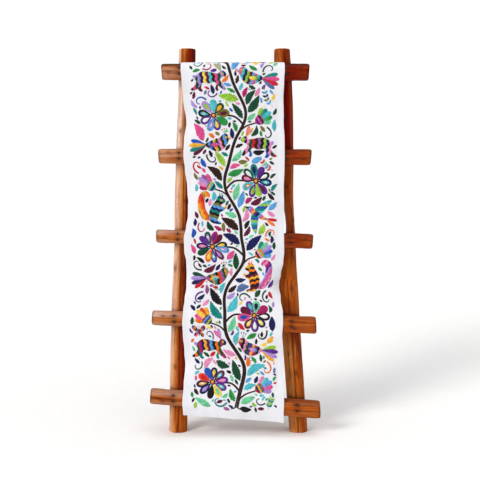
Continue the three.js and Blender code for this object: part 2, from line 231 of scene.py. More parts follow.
MIDDLE = cloth_middle(GU, GV)
MIDDLE = MIDDLE + normals_of(MIDDLE) * rumple(GU, GV)[..., None]
NORMAL = normals_of(MIDDLE)
edge_in = np.minimum(np.minimum(RUNNER_W / 2 - np.abs(GU), GV), RUNNER_L - GV)      # from the nearest edge
FACE = np.interp(edge_in, [0, 0.25, 0.9, 3], [0.05, 0.4, 0.55, 0.6])                # the face stands this far off the middle
BACK = np.interp(edge_in, [0, 0.25, 0.9, 3, 9.4, 10.4], [0.3, 0.85, 1.15, 1.2, 1.2, 0.35])  # the hem is turned to the back


def on_cloth(u, v, high, behind=False):
    """Points that stand a height off the runner's face, or off its back."""
    iu = np.clip(np.searchsorted(US, u) - 1, 0, len(US) - 2)
    iv = np.clip(np.searchsorted(VS, v) - 1, 0, len(VS) - 2)
    fu = np.clip((u - US[iu]) / (US[iu + 1] - US[iu]), 0, 1)[:, None]
    fv = np.clip((v - VS[iv]) / (VS[iv + 1] - VS[iv]), 0, 1)[:, None]

    def mix(g):
        return (g[iv, iu] * (1 - fu) + g[iv, iu + 1] * fu) * (1 - fv) + (g[iv + 1, iu] * (1 - fu) + g[iv + 1, iu + 1] * fu) * fv

    n = mix(NORMAL)
    n = n / np.linalg.norm(n, axis=1, keepdims=True)
    if behind:
        return mix(MIDDLE) - n * (mix(BACK[..., None]) + np.asarray(high)[:, None])
    return mix(MIDDLE) + n * (mix(FACE[..., None]) + np.asarray(high)[:, None])


# ------------------------------------------------------------------ mesh helpers
def add_mesh(name, verts, faces, smooth_shade=True):
    me = bpy.data.meshes.new(name)
    me.from_pydata(verts, [], faces)
    me.validate(clean_customdata=False)
    me.update()
    if smooth_shade:
        me.polygons.foreach_set("use_smooth", np.ones(len(me.polygons), bool))
    ob = bpy.data.objects.new(name, me)
    bpy.context.scene.collection.objects.link(ob)
    return ob


def point_values(ob, name, kind, values):
    a = ob.data.attributes.new(name, kind, "POINT")
    a.data.foreach_set({"FLOAT": "value", "FLOAT_VECTOR": "vector", "FLOAT_COLOR": "color"}[kind], np.asarray(values, np.float32).ravel())


def corner_uv(ob, name, uv_per_loop):
    layer = ob.data.uv_layers.new(name=name)
    layer.data.foreach_set("uv", np.asarray(uv_per_loop, np.float32).ravel())


def linear(rgb):
    c = np.asarray(rgb, float) / 255
    return np.where(c <= 0.04045, c / 12.92, ((c + 0.055) / 1.055) ** 2.4)


def strip_uv(u, v, start, width):
    """Flat mm to a square: the runner's two halves side by side, in a column of the square."""
    half = (v >= RUNNER_L / 2).astype(float)
    return np.column_stack([start + width * (half + 0.012 + 0.976 * (u + RUNNER_W / 2) / RUNNER_W) / 2, 0.005 + 0.99 * (v - half * RUNNER_L / 2) / (RUNNER_L / 2)])


def build_runner():
    nv, nu = GU.shape
    top, low = MIDDLE + NORMAL * FACE[..., None], MIDDLE - NORMAL * BACK[..., None]
    verts = np.vstack([to_world(top).reshape(-1, 3), to_world(low).reshape(-1, 3)])
    idx = np.arange(nv * nu).reshape(nv, nu)
    a, b, c, d = idx[:-1, :-1].ravel(), idx[:-1, 1:].ravel(), idx[1:, 1:].ravel(), idx[1:, :-1].ravel()
    n = nv * nu
    face_top = np.column_stack([a, b, c, d])
    face_low = np.column_stack([d, c, b, a]) + n
    rim = np.concatenate([idx[0, :], idx[1:, -1], idx[-1, -2::-1], idx[-2:0:-1, 0]])
    nxt = np.roll(rim, -1)
    side = np.column_stack([nxt, rim, rim + n, nxt + n])
    ob = add_mesh("runner_cloth", verts, np.vstack([face_top, face_low, side]).tolist())
    flat = np.column_stack([GU.ravel(), GV.ravel(), 0 * GU.ravel()]) * 0.001
    point_values(ob, "flat", "FLOAT_VECTOR", np.vstack([flat, flat]))
    loops = np.zeros(len(ob.data.loops), np.int32)
    ob.data.loops.foreach_get("vertex_index", loops)
    owner = np.repeat(np.arange(len(ob.data.polygons)), 4)
    k = loops % n
    under = owner >= len(face_top)
    uv = np.where(under[:, None], strip_uv(GU.ravel()[k], GV.ravel()[k], 0.5, 0.5), strip_uv(GU.ravel()[k], GV.ravel()[k], 0.0, 0.5))
    corner_uv(ob, "OFBake", uv)
    return ob


RIDGE = np.array([(0.0, 0, 0.12), (0.16, 1, 0.0), (0.16, 0, 0.86), (0.16, -1, 0.0), (0.5, 1, 0.0), (0.5, 0, 1.0), (0.5, -1, 0.0), (0.84, 1, 0.0), (0.84, 0, 0.86), (0.84, -1, 0.0), (1.0, 0, 0.12)])
RIDGE_FACES = np.array([(0, 3, 2), (0, 2, 1), (1, 2, 5), (1, 5, 4), (2, 3, 6), (2, 6, 5), (4, 5, 8), (4, 8, 7), (5, 6, 9), (5, 9, 8), (10, 8, 9), (10, 7, 8),
                        (0, 1, 3), (3, 1, 4), (3, 4, 6), (6, 4, 7), (6, 7, 9), (10, 9, 7)])
UNDER = np.arange(18) >= 12


def build_stitches(name, rows, sunk=0.18):
    """One mesh of many stitches: each a low closed ridge that follows the cloth."""
    r = np.asarray(rows, float)
    n = len(r)
    a, b = r[:, 0:2], r[:, 2:4]
    long = np.maximum(1e-6, np.hypot(*(b - a).T))
    t = (b - a) / long[:, None]
    side = np.column_stack([-t[:, 1], t[:, 0]])
    blunt = np.clip(0.55 / long, 0.03, 0.3)[:, None]
    place = np.where(RIDGE[None, :, 0] == 0.16, blunt, np.where(RIDGE[None, :, 0] == 0.84, 1 - blunt, RIDGE[None, :, 0]))
    at = a[:, None, :] + (b - a)[:, None, :] * place[..., None] + side[:, None, :] * RIDGE[None, :, 1:2] * (r[:, 4] / 2)[:, None, None]
    high = LAYER * r[:, 6][:, None] + r[:, 5][:, None] * RIDGE[None, :, 2] - sunk * (RIDGE[None, :, 2] < 0.05)
    flat = at.reshape(-1, 2)
    verts = to_world(on_cloth(flat[:, 0], flat[:, 1], high.ravel()))
    faces = (RIDGE_FACES[None] + (np.arange(n) * len(RIDGE))[:, None, None]).reshape(-1, 3)
    ob = add_mesh(name, verts, faces.tolist())
    tone = np.repeat(np.column_stack([linear(r[:, 7:10]), np.ones(n)]), len(RIDGE), axis=0)
    point_values(ob, "thread", "FLOAT_COLOR", tone)
    ply = np.stack([np.broadcast_to(RIDGE[None, :, 1], (n, 11)), place * long[:, None], np.broadcast_to(np.arange(n)[:, None] * 0.37 % 7, (n, 11))], axis=-1)
    point_values(ob, "ply", "FLOAT_VECTOR", ply.reshape(-1, 3))
    loops = np.zeros(len(ob.data.loops), np.int32)
    ob.data.loops.foreach_get("vertex_index", loops)
    under = np.repeat(np.tile(UNDER, n), 3)
    uv = np.where(under[:, None], strip_uv(flat[loops, 0], flat[loops, 1], 0.95, 0.05), strip_uv(flat[loops, 0], flat[loops, 1], 0.0, 0.945))
    corner_uv(ob, "OFBake", uv)
    return ob


def build_reverse(name, rows, reach=1.15):
    """The back of the embroidery: the short stitches that carry the thread from row to row, one by one end of each stitch in turn."""
    r = np.asarray(rows, float)
    n = len(r)
    a, b = r[:, 0:2], r[:, 2:4]
    t = (b - a) / np.maximum(1e-6, np.hypot(*(b - a).T))[:, None]
    side = np.column_stack([-t[:, 1], t[:, 0]])
    end = np.where((np.arange(n) % 2 == 0)[:, None], a + 0.5 * t, b - 0.5 * t)
    flat = np.stack([end - side * reach, end + t * 0.5, end + side * reach, end - t * 0.5, end], axis=1).reshape(-1, 2)
    high = np.tile([-0.1, -0.1, -0.1, -0.1, 0.45], n)
    verts = to_world(on_cloth(flat[:, 0], flat[:, 1], high, behind=True))
    tent = np.array([(1, 0, 4), (2, 1, 4), (3, 2, 4), (0, 3, 4), (0, 1, 2), (0, 2, 3)])
    faces = (tent[None] + (np.arange(n) * 5)[:, None, None]).reshape(-1, 3)
    ob = add_mesh(name, verts, faces.tolist())
    point_values(ob, "thread", "FLOAT_COLOR", np.repeat(np.column_stack([linear(r[:, 7:10]), np.ones(n)]), 5, axis=0))
    point_values(ob, "ply", "FLOAT_VECTOR", np.tile([(0, 0, 0), (0.8, 1, 0), (0, 2.3, 0), (-0.8, 1, 0), (0, 1.1, 0)], (n, 1)))
    return ob


# ------------------------------------------------------------------ the embroidery, laid out flat
# Flat cloth coordinates in mm: u across from the middle, v up the cloth from the front hem.
# A stitch is a row: its two ends, the thread's width and height, the layer that it lies on, and its colour.

PALETTE = {
    "magenta": (180, 34, 106), "rose": (224, 84, 150), "pink": (230, 146, 188), "red": (205, 34, 48),
    "scarlet": (226, 70, 40), "orange": (238, 122, 30), "gold": (240, 178, 52), "yellow": (246, 212, 86),
    "lime": (158, 202, 70), "leaf": (46, 148, 72), "forest": (18, 78, 48), "teal": (18, 138, 132),
    "aqua": (86, 192, 202), "sky": (94, 164, 218), "blue": (38, 88, 184), "navy": (26, 32, 92),
    "violet": (100, 44, 146), "lavender": (178, 148, 214), "mauve": (156, 92, 152), "bark": (54, 28, 24),
    "soot": (26, 22, 28), "tan": (196, 138, 84), "olive": (124, 120, 44), "plum": (104, 22, 56),
    "mint": (120, 206, 160), "slate": (96, 118, 168), "white": (244, 242, 246),
}
BRIGHT = ["magenta", "rose", "pink", "red", "scarlet", "orange", "gold", "yellow", "lime", "leaf", "teal", "aqua", "sky", "blue", "navy",
          "violet", "lavender", "mauve", "plum", "mint", "slate", "olive", "forest", "tan", "navy", "plum", "forest", "soot", "blue", "violet", "red", "teal", "soot", "aqua", "sky", "pink", "navy"]

dice = np.random.default_rng(417)
SEWN = {}                                    # piece -> list of stitches
PITCH, FLOSS, HIGH, LAYER = 1.75, 2.0, 0.85, 0.55
RUNNER_W, RUNNER_L = 405.0, 2000.0
CELL = 2.0                                   # of the map of what is taken
TAKEN = np.zeros((int(RUNNER_L / CELL), int(RUNNER_W / CELL) + 1), bool)


def stitch(piece, a, b, colour, width=FLOSS, high=HIGH, layer=0):
    tone = np.array(PALETTE[colour], float) * (1 + 0.07 * dice.standard_normal())
    SEWN.setdefault(piece, []).append((a[0], a[1], b[0], b[1], width, high, layer, *np.clip(tone, 6, 250)))


def spline(points, closed=True, steps=7):
    """A smooth line through a few points."""
    p = np.asarray(points, float)
    n = len(p)
    out = []
    t = np.arange(steps) / steps
    t = t[:, None]
    for i in range(n if closed else n - 1):
        if closed:
            a, b, c, d = p[i - 1], p[i], p[(i + 1) % n], p[(i + 2) % n]
        else:
            a, b, c, d = p[max(i - 1, 0)], p[i], p[i + 1], p[min(i + 2, n - 1)]
        out.append(0.5 * (2 * b + (c - a) * t + (2 * a - 5 * b + 4 * c - d) * t**2 + (3 * b - a - 3 * c + d) * t**3))
    if not closed:
        out.append(p[-1:])
    return np.vstack(out)


def placed(points, at, turn=0.0, size=1.0, flip=False):
    p = np.asarray(points, float) * size
    if flip:
        p = p * [-1, 1]
    c, s = math.cos(turn), math.sin(turn)
    return p @ np.array([[c, s], [-s, c]]) + np.asarray(at, float)


def inside(rings, pts):
    """Which points are inside the rings, by the even-odd rule."""
    hit = np.zeros(len(pts), bool)
    x, y = pts[:, 0], pts[:, 1]
    for ring in rings:
        q = np.roll(ring, -1, axis=0)
        for (x0, y0), (x1, y1) in zip(ring, q):
            if y0 == y1:
                continue
            cross = ((y0 > y) != (y1 > y)) & (x < (x1 - x0) * (y - y0) / (y1 - y0) + x0)
            hit ^= cross
    return hit


def cells(ring, grow=0.0):
    """The map's cells under a ring, and within grow of it."""
    lo = np.floor((ring.min(0) - grow + [RUNNER_W / 2, 0]) / CELL).astype(int)
    hi = np.ceil((ring.max(0) + grow + [RUNNER_W / 2, 0]) / CELL).astype(int) + 1
    iu, iv = np.arange(lo[0], hi[0]), np.arange(lo[1], hi[1])
    gu, gv = np.meshgrid(iu, iv)
    pts = np.column_stack([(gu.ravel() + 0.5) * CELL - RUNNER_W / 2, (gv.ravel() + 0.5) * CELL])
    hit = inside([ring], pts)
    if grow > 0:
        q = np.roll(ring, -1, axis=0)
        d2 = np.full(len(pts), 1e9)
        for a, b in zip(ring, q):
            ab = b - a
            t = np.clip(((pts - a) @ ab) / max(ab @ ab, 1e-9), 0, 1)
            d2 = np.minimum(d2, ((pts - a - t[:, None] * ab) ** 2).sum(1))
        hit |= d2 < grow * grow
    return gv.ravel()[hit], gu.ravel()[hit]


def take(ring, grow=1.8):
    v, u = cells(ring, grow)
    ok = (v >= 0) & (v < TAKEN.shape[0]) & (u >= 0) & (u < TAKEN.shape[1])
    TAKEN[v[ok], u[ok]] = True


EDGE_FREE, END_FREE = 27.0, 30.0             # bare cloth left at the sides and the ends


def free(ring, grow=1.5):
    if (np.abs(ring[:, 0]) > RUNNER_W / 2 - EDGE_FREE).any() or ring[:, 1].min() < END_FREE or ring[:, 1].max() > RUNNER_L - END_FREE:
        return False
    quick = np.clip(((ring + [RUNNER_W / 2, 0]) / CELL).astype(int), 0, [TAKEN.shape[1] - 1, TAKEN.shape[0] - 1])
    if TAKEN[quick[:, 1], quick[:, 0]].any():
        return False
    v, u = cells(ring, grow)
    return not TAKEN[v, u].any()


def fill(piece, rings, turn, colour, longest=15.0, layer=0, rag=0.55, stripes=None, pitch=PITCH, reach=0.0):
    """Rows of stitches at an angle across the space in the rings. stripes = (width, start, sway, sway length, colours) breaks each row where stripes meet."""
    c, s = math.cos(turn), math.sin(turn)
    to = np.array([[c, -s], [s, c]])
    turned = [np.asarray(r, float) @ to for r in rings]
    low, high = min(r[:, 1].min() for r in turned), max(r[:, 1].max() for r in turned)
    row = 0
    for y in np.arange(low + 0.4 * pitch, high, pitch):
        xs = []
        for r in turned:
            q = np.roll(r, -1, axis=0)
            m = (r[:, 1] > y) != (q[:, 1] > y)
            xs.extend(r[m, 0] + (y - r[m, 1]) * (q[m, 0] - r[m, 0]) / (q[m, 1] - r[m, 1]))
        xs.sort()
        row += 1
        for x0, x1 in zip(xs[::2], xs[1::2]):
            if x1 - x0 < 0.8:
                continue
            x0, x1 = x0 - reach - rag * dice.random(), x1 + reach + rag * dice.random()
            cuts = []
            if stripes:
                width, start, sway, length, names = stripes
                first = start + sway * math.sin(2 * math.pi * y / length)
                k0, k1 = math.floor((x0 - first) / width) + 1, math.floor((x1 - first) / width)
                cuts = [first + k * width + 0.5 * (dice.random() - 0.5) for k in range(k0, k1 + 1)]
                cuts = [x for x in cuts if x0 + 0.8 < x < x1 - 0.8]
            elif x1 - x0 > longest:
                n = math.ceil((x1 - x0) / longest)
                off = (0.5 if row % 2 else 0.0) / n
                cuts = [x0 + (x1 - x0) * ((k + off) / n) + 1.2 * (dice.random() - 0.5) for k in range(1, n + 1) if 0.08 < (k + off) / n < 0.92]
            ends = [x0, *cuts, x1]
            lap = 0.3 if stripes else 0.6        # how far stitches that meet in a row run past each other
            for a, b in zip(ends[:-1], ends[1:]):
                name = colour
                if stripes:
                    name = names[int(math.floor(((a + b) / 2 - first) / width)) % len(names)]
                a, b = a - lap * (a > x0), b + lap * (b < x1)
                stitch(piece, np.array([a, y]) @ to.T, np.array([b, y]) @ to.T, name, width=pitch + 0.85, layer=layer)


def line(piece, path, colour, width=1.9, length=5.5, layer=0, high=0.8):
    """Stem stitch: short stitches that overlap along a path."""
    p = np.asarray(path, float)
    d = np.concatenate([[0], np.cumsum(np.hypot(*np.diff(p, axis=0).T))])
    n = max(1, round(d[-1] / (length * 0.8)))
    for k in range(n):
        s0, s1 = d[-1] * k / n - 0.5, d[-1] * (k + 1) / n + 0.8
        a = [np.interp(s0, d, p[:, i]) for i in (0, 1)]
        b = [np.interp(s1, d, p[:, i]) for i in (0, 1)]
        stitch(piece, a, b, colour, width=width, high=high, layer=layer)


def rope(piece, path, widths, colour, second=None, layer=0, row=2.15):
    """A thick stem: rows of stem stitch side by side along a path, widths given at the path's points."""
    p = np.asarray(path, float)
    w = np.asarray(widths, float)
    t = np.gradient(p, axis=0)
    t /= np.maximum(1e-9, np.hypot(*t.T))[:, None]
    n = np.column_stack([-t[:, 1], t[:, 0]])
    rows = max(2, round(w.max() / row))
    for k in range(rows):
        off = (k + 0.5) / rows - 0.5
        name = second if second and k % 3 == 1 else colour
        line(piece, p + n * (off * w)[:, None], name, width=w.mean() / rows + 0.8, length=6.5 + dice.random(), layer=layer, high=1.0)


def ribbon(path, widths):
    """The outline of a band along a path."""
    p = np.asarray(path, float)
    w = np.asarray(widths, float)[:, None] / 2
    t = np.gradient(p, axis=0)
    t /= np.maximum(1e-9, np.hypot(*t.T))[:, None]
    n = np.column_stack([-t[:, 1], t[:, 0]])
    return np.vstack([p + n * w, (p - n * w)[::-1]])


def drop(length, width, steps=26):
    """A petal from the origin along +u: narrow at the start, widest past the middle, round at the end."""
    t = np.linspace(0, 1, steps)
    top = 0.66
    half = width / 2 * np.where(t < top, np.sin(np.pi / 2 * np.minimum(t / top, 1)) ** 1.7, np.sqrt(np.maximum(0, 1 - (np.maximum(t - top, 0) / (1 - top)) ** 2)))
    return np.vstack([np.column_stack([t * length, half]), np.column_stack([t[::-1][1:-1] * length, -half[::-1][1:-1]])])


def pointed(length, width, bend=0.0, teeth=0, steps=22):
    """A leaf from the origin along +u: pointed at both ends, bent to one side, with teeth along its edges."""
    t = np.linspace(0, 1, steps)
    half = width / 2 * np.sin(np.pi * t ** 0.8) ** 0.9
    if teeth:
        half = half * (1 + 0.13 * np.sign(np.sin(2 * np.pi * teeth * t)) * (t > 0.06) * (t < 0.94))
    mid = bend * length * np.sin(np.pi * t)
    up = np.column_stack([t * length, mid + half])
    down = np.column_stack([t * length, mid - half])
    return up, down, np.column_stack([t * length, mid])


def some(n, names=BRIGHT):
    """n colours, no two neighbours alike."""
    got = []
    while len(got) < n:
        name = names[dice.integers(len(names))]
        if not got or (name != got[-1] and (len(got) < n - 1 or name != got[0])):
            got.append(name)
    return got


DEEP = ["soot", "navy", "plum", "violet", "soot", "forest"]
PALE = ["white", "lavender", "pink", "yellow", "aqua", "gold", "lime"]


# ---- motifs
def leaf(at, turn, length, width, colour, bend=0.0, teeth=5, rib=None, layer=0, check=True, grow=1.0, piece="embroidery_leaves"):
    up, down, mid = pointed(length, width, bend, teeth)
    ring = placed(np.vstack([up, down[::-1]]), at, turn)
    if check and not free(ring, grow):
        return False
    for edge, lean in ((up, 0.62), (down, -0.62)):
        half = placed(np.vstack([edge, mid[::-1]]), at, turn)
        fill(piece, [half], turn + lean, colour, longest=19, layer=layer, rag=0.8, reach=0.6)
    if rib:
        line(piece, placed(mid[1:-2], at, turn), rib, width=1.3, layer=layer + 1, high=0.6)
    take(ring, 1.1)
    return True


def petal(at, turn, length, width, outer, inner=None, eye=None, layer=0, piece="embroidery_flowers"):
    ring = placed(drop(length, width), at, turn)
    rings = [ring]
    if inner:
        core = placed(drop(length * 0.6, width * 0.5) + [length * 0.24, 0], at, turn)
        rings.append(core)
        fill(piece, [core], turn + math.pi / 2, inner, layer=layer, rag=0.3)
        if eye:
            spot = placed(drop(length * 0.24, width * 0.2) + [length * 0.46, 0], at, turn)
            fill(piece, [spot], turn, eye, layer=layer + 1, rag=0.1)
    fill(piece, rings, turn + math.pi / 2, outer, longest=34, layer=layer, rag=0.45, reach=0.2)
    take(ring, 1.8)


def rosette(at, radius, petals, turn=0.0, colours=None, cores=None, heart=("gold", "plum")):
    """A round flower of drop-shaped petals, each of its own colour."""
    colours = colours or some(petals)
    cores = cores or some(petals)
    room = 2 * math.pi * radius * 0.66 / petals
    for k in range(petals):
        a = turn + 2 * math.pi * k / petals + 0.05 * dice.standard_normal()
        long = radius * (1 + 0.05 * dice.standard_normal())
        start = np.asarray(at, float) + 3.5 * np.array([math.cos(a), math.sin(a)])
        inner = cores[k] if k % 3 != 1 else None
        if k % 3 == 0 or k == 4:             # some petals are dark with a pale heart
            colours[k], inner = DEEP[dice.integers(len(DEEP))], PALE[dice.integers(len(PALE))]
        petal(start, a, long - 3.5, room * 1.04, colours[k], inner, "white" if inner and k % 2 else None, layer=0.35 + 0.3 * (k % 3))
    ring = np.column_stack([np.cos(np.linspace(0, 2 * np.pi, 20, endpoint=False)), np.sin(np.linspace(0, 2 * np.pi, 20, endpoint=False))])
    fill("embroidery_flowers", [placed(ring * radius * 0.17, at)], 0.4, heart[1], layer=1.7)
    fill("embroidery_flowers", [placed(ring * radius * 0.09, at)], -0.7, heart[0], layer=2.5)


def daisy(at, radius, petals, turn, colours, heart, dot):
    """A flower with slim petals round a wide striped heart."""
    for k in range(petals):
        a = turn + 2 * math.pi * k / petals
        start = np.asarray(at, float) + radius * 0.33 * np.array([math.cos(a), math.sin(a)])
        petal(start, a, radius * 0.68, 2 * math.pi * radius * 0.62 / petals * 0.9, colours[k % len(colours)])
    t = np.linspace(0, 2 * np.pi, 24, endpoint=False)
    ring = np.column_stack([np.cos(t), np.sin(t)])
    fill("embroidery_flowers", [placed(ring * radius * 0.38, at), placed(ring * radius * 0.2, at)], 0.3, heart, layer=1)
    fill("embroidery_flowers", [placed(ring * radius * 0.2, at)], 1.2, dot, layer=1)
    take(placed(ring * radius * 0.4, at))


def tulip(at, turn, size, colours, base):
    """A cup flower seen from the side: a striped cup and upright petals. It grows along turn."""
    for a, long, wide, name, layer in ((0.62, 50, 19, colours[0], 0.15), (-0.62, 50, 19, colours[1], 0.15), (0.3, 56, 18, colours[2], 0.5), (-0.3, 56, 18, colours[3], 0.5), (0.0, 60, 18, colours[4], 0.85)):
        petal(placed([[10, 0]], at, turn, size)[0], turn + a, long * size, wide * size, name, layer=layer)
    cup = spline([(0, 0), (7, 12), (20, 17), (29, 13), (31, 0), (29, -13), (20, -17), (7, -12)])
    ring = placed(cup, at, turn, size)
    fill("embroidery_flowers", [ring], turn, None, layer=1.7, stripes=(6.5 * size, (np.asarray(at) @ [math.cos(turn), math.sin(turn)]), 0.8, 14, base))
    take(ring)


def sprig(path, colour, leaves, size=13, stem=None, berries=False, check=True, piece="embroidery_sprigs"):
    """A thin curved stem with small leaves, or berries, in pairs."""
    p = spline(path, closed=False, steps=8)
    outline = ribbon(p, np.full(len(p), size * 1.3))
    if check and not free(outline, 1.0):
        return False
    line(piece, p, stem or (colour if isinstance(colour, str) else colour[0]), width=1.5)
    d = np.concatenate([[0], np.cumsum(np.hypot(*np.diff(p, axis=0).T))])
    for k in range(leaves):
        s = d[-1] * (0.22 + 0.78 * k / max(1, leaves - 1))
        at = np.array([np.interp(s, d, p[:, i]) for i in (0, 1)])
        on = np.array([np.interp(min(s + 2, d[-1]), d, p[:, i]) for i in (0, 1)]) - np.array([np.interp(s - 2, d, p[:, i]) for i in (0, 1)])
        a = math.atan2(on[1], on[0])
        for side in (0.8, -0.8) if k < leaves - 1 else (0,):
            name = colour if isinstance(colour, str) else colour[k % len(colour)]
            if berries:
                berry = at + 5.5 * np.array([math.cos(a + side), math.sin(a + side)])
                dot(berry, 2.9, name, piece=piece, check=False)
            else:
                up, down, mid = pointed(size, size * 0.5)
                ring = placed(np.vstack([up, down[::-1]]), at + 1.0 * np.array([math.cos(a + side), math.sin(a + side)]), a + side)
                fill(piece, [ring], a + side + 0.15, name, longest=18, rag=0.25)
    take(outline, 1.5)
    return True


def curl(at, turn, size, colour, hand=1, check=True, piece="embroidery_sprigs"):
    """A curled tendril, thick at its root."""
    t = np.linspace(0, 1, 26)
    a = hand * (0.2 + 4.4 * t ** 1.35)
    step = np.column_stack([np.cos(a), np.sin(a)]) * (1.25 - 0.75 * t)[:, None]
    p = np.cumsum(step, axis=0)
    p = placed(p / np.ptp(p, axis=0).max() * size, at, turn)
    w = size * 0.19 * (1 - 0.75 * t)
    ring = ribbon(p, w + 2)
    if check and not free(ring, 0.8):
        return False
    rope(piece, p, w, colour, row=2.0)
    take(ring, 1.4)
    return True


def dot(at, radius, colour, layer=0, check=True, piece="embroidery_sprigs"):
    t = np.linspace(0, 2 * np.pi, 12, endpoint=False)
    ring = placed(np.column_stack([np.cos(t), np.sin(t)]) * radius, at)
    if check and not free(ring, 2.0):
        return False
    fill(piece, [ring], dice.random() * 3, colour, layer=layer, rag=0.2)
    take(ring, 2.0)
    return True


SONGBIRD = [(56, 36), (50, 47), (40, 51), (29, 47), (20, 37), (4, 31), (-16, 23), (-35, 13), (-36, 4), (-19, -7), (0, -15), (20, -15), (36, -5), (46, 9), (53, 23), (56, 31)]
ROUND_EYE = np.linspace(0, 2 * np.pi, 12, endpoint=False)
HARE = [(64, 30), (59, 38), (51, 43), (42, 42), (33, 33), (17, 34), (-8, 39), (-33, 37), (-51, 23), (-55, 11), (-51, 0), (-60, -16), (-74, -27), (-66, -32), (-47, -25), (-35, -11),
        (-25, -2), (-4, -5), (15, 1), (23, -3), (37, -17), (53, -29), (60, -24), (50, -8), (39, 8), (43, 16), (50, 20), (60, 23)]
SQUIRREL = [(41, 43), (34, 52), (26, 57), (16, 55), (10, 44), (-2, 30), (-12, 10), (-13, -12), (-5, -24), (6, -29), (28, -31), (29, -25), (17, -20), (19, -8), (23, 6), (35, 13), (39, 20), (31, 23), (25, 27), (31, 34), (39, 38)]
BRUSH = [(-9, -20), (-33, -17), (-50, 8), (-52, 40), (-42, 63), (-25, 72), (-11, 64), (-12, 53), (-22, 53), (-29, 44), (-29, 26), (-23, 8), (-12, -8)]
SWALLOW = [(48, 8), (42, 16), (32, 17), (20, 13), (0, 8), (-22, 3), (-30, -1), (-20, -7), (2, -8), (22, -5), (38, 0)]
FAR_WING = [(20, 10), (12, 30), (-6, 52), (-26, 64), (-22, 46), (-14, 26), (-4, 8)]
NEAR_WING = [(24, -3), (20, -24), (6, -46), (-14, -60), (-12, -42), (-6, -22), (0, -6)]


def bird(at, size, flip, stripes, tails, wing, beak="orange", crest=None, turn=0.0):
    """A perched songbird with a striped breast, a layered wing and long tail feathers."""
    def put(points):
        return placed(points, at, turn, size, flip)

    way = math.pi - turn if flip else turn
    side = -1 if flip else 1
    for k, name in enumerate(tails):
        a = math.pi + 0.66 - 0.3 * k
        petal(put([(-30, 8)])[0], (math.pi - a if flip else a) + turn, (74 - 5 * abs(k - 1.5)) * size, 17.5 * size, name, layer=0.1 + 0.3 * (k % 3), piece="embroidery_birds")
    body = put(spline(SONGBIRD))
    centre = np.asarray(at, float) @ [math.cos(0.35 * side + turn), math.sin(0.35 * side + turn)]
    fill("embroidery_birds", [body], 0.35 * side + turn, None, layer=0.95, stripes=(10.5, centre, 1.8, 21, stripes))
    take(body)
    for k, (length, name) in enumerate(zip((46, 38, 28), wing)):
        a = math.pi + 0.42 - 0.13 * k
        petal(put([(20, 20 - 5 * k)])[0], (math.pi - a if flip else a) + turn, length * size, 15 * size, name, layer=1.7 + 0.7 * k, piece="embroidery_birds")
    beak_ring = put([(54, 38), (70, 34), (54, 30)])
    fill("embroidery_birds", [beak_ring], way, beak, rag=0.1)
    eye = np.column_stack([np.cos(ROUND_EYE), np.sin(ROUND_EYE)])
    fill("embroidery_birds", [put(eye * 4.6 + [44, 38])], 0.0, "yellow", layer=1.7, rag=0.1)
    fill("embroidery_birds", [put(eye * 2.3 + [44, 38])], 0.0, "soot", layer=2.5, rag=0.1)
    for x in (6, 16):
        leg = put(spline([(x, -13), (x - 3, -24), (x + 1, -33)], closed=False, steps=4))
        line("embroidery_birds", leg, "bark", width=1.7)
        for toe in (-7, 1, 8):
            line("embroidery_birds", put([(x + 1, -33), (x + 1 + toe, -37)]), "bark", width=1.4)
    if crest:
        for a in (1.35, 1.75, 2.15):
            tip = put([(38 + 24 * math.cos(a), 47 + 24 * math.sin(a))])[0]
            line("embroidery_birds", [put([(38, 49)])[0], tip], "bark", width=1.2)
            dot(tip, 2.8, crest, check=False, piece="embroidery_birds")


def swallow(at, size, flip, turn, body, wings, tail):
    def put(points):
        return placed(points, at, turn, size, flip)

    side = -1 if flip else 1
    for ring, names in ((FAR_WING, wings), (NEAR_WING, wings[::-1])):
        w = put(spline(ring))
        fill("embroidery_birds", [w], turn + side * 1.2, None, stripes=(9.0, 3.0, 1.4, 15, names))
        take(w)
    for a, name in ((2.92, tail[0]), (3.36, tail[1])):
        petal(put([(-24, -1)])[0], (math.pi - a if flip else a) + turn, 44 * size, 10 * size, name, piece="embroidery_birds")
    b = put(spline(SWALLOW))
    fill("embroidery_birds", [b], turn + side * 0.2, None, layer=1, stripes=(10.0, 2.0, 1.4, 17, body))
    take(b)
    fill("embroidery_birds", [put([(47, 13), (60, 8), (47, 6)])], turn, "soot", layer=1, rag=0.1)
    dot(put([(39, 10)])[0], 1.9, "white", layer=2, check=False, piece="embroidery_birds")


def hare(at, size, flip, stripes, limb, ear, turn=0.0):
    def put(points):
        return placed(points, at, turn, size, flip)

    side = -1 if flip else 1
    for far in ([(-44, 8), (-40, -10), (-46, -26), (-38, -36), (-28, -33), (-34, -22), (-30, -6), (-28, 6)], [(22, 10), (26, -6), (20, -22), (24, -32), (32, -30), (30, -18), (38, -4), (36, 8)]):
        ring = put(spline(far))
        fill("embroidery_animals", [ring], turn + 0.1, limb)
        take(ring)
    body = put(spline(HARE))
    centre = np.asarray(at, float) @ [math.cos(0.12 * side + turn), math.sin(0.12 * side + turn)]
    fill("embroidery_animals", [body], 0.12 * side + turn, None, layer=1, stripes=(11.5, centre, 2.2, 23, stripes))
    take(body)
    for a, name in ((1.86, ear[0]), (2.24, ear[1])):
        petal(put([(45, 40)])[0], (math.pi - a if flip else a) + turn, 44 * size, 12 * size, name, "pink", layer=1, piece="embroidery_animals")
    dot(put([(-57, 20)])[0], 6.5 * size, "lavender", layer=1, check=False, piece="embroidery_animals")
    eye = np.column_stack([np.cos(ROUND_EYE), np.sin(ROUND_EYE)])
    fill("embroidery_animals", [put(eye * 4.4 + [50, 33])], 0.0, "yellow", layer=1.75, rag=0.1)
    fill("embroidery_animals", [put(eye * 2.2 + [50, 33])], 0.0, "soot", layer=2.55, rag=0.1)


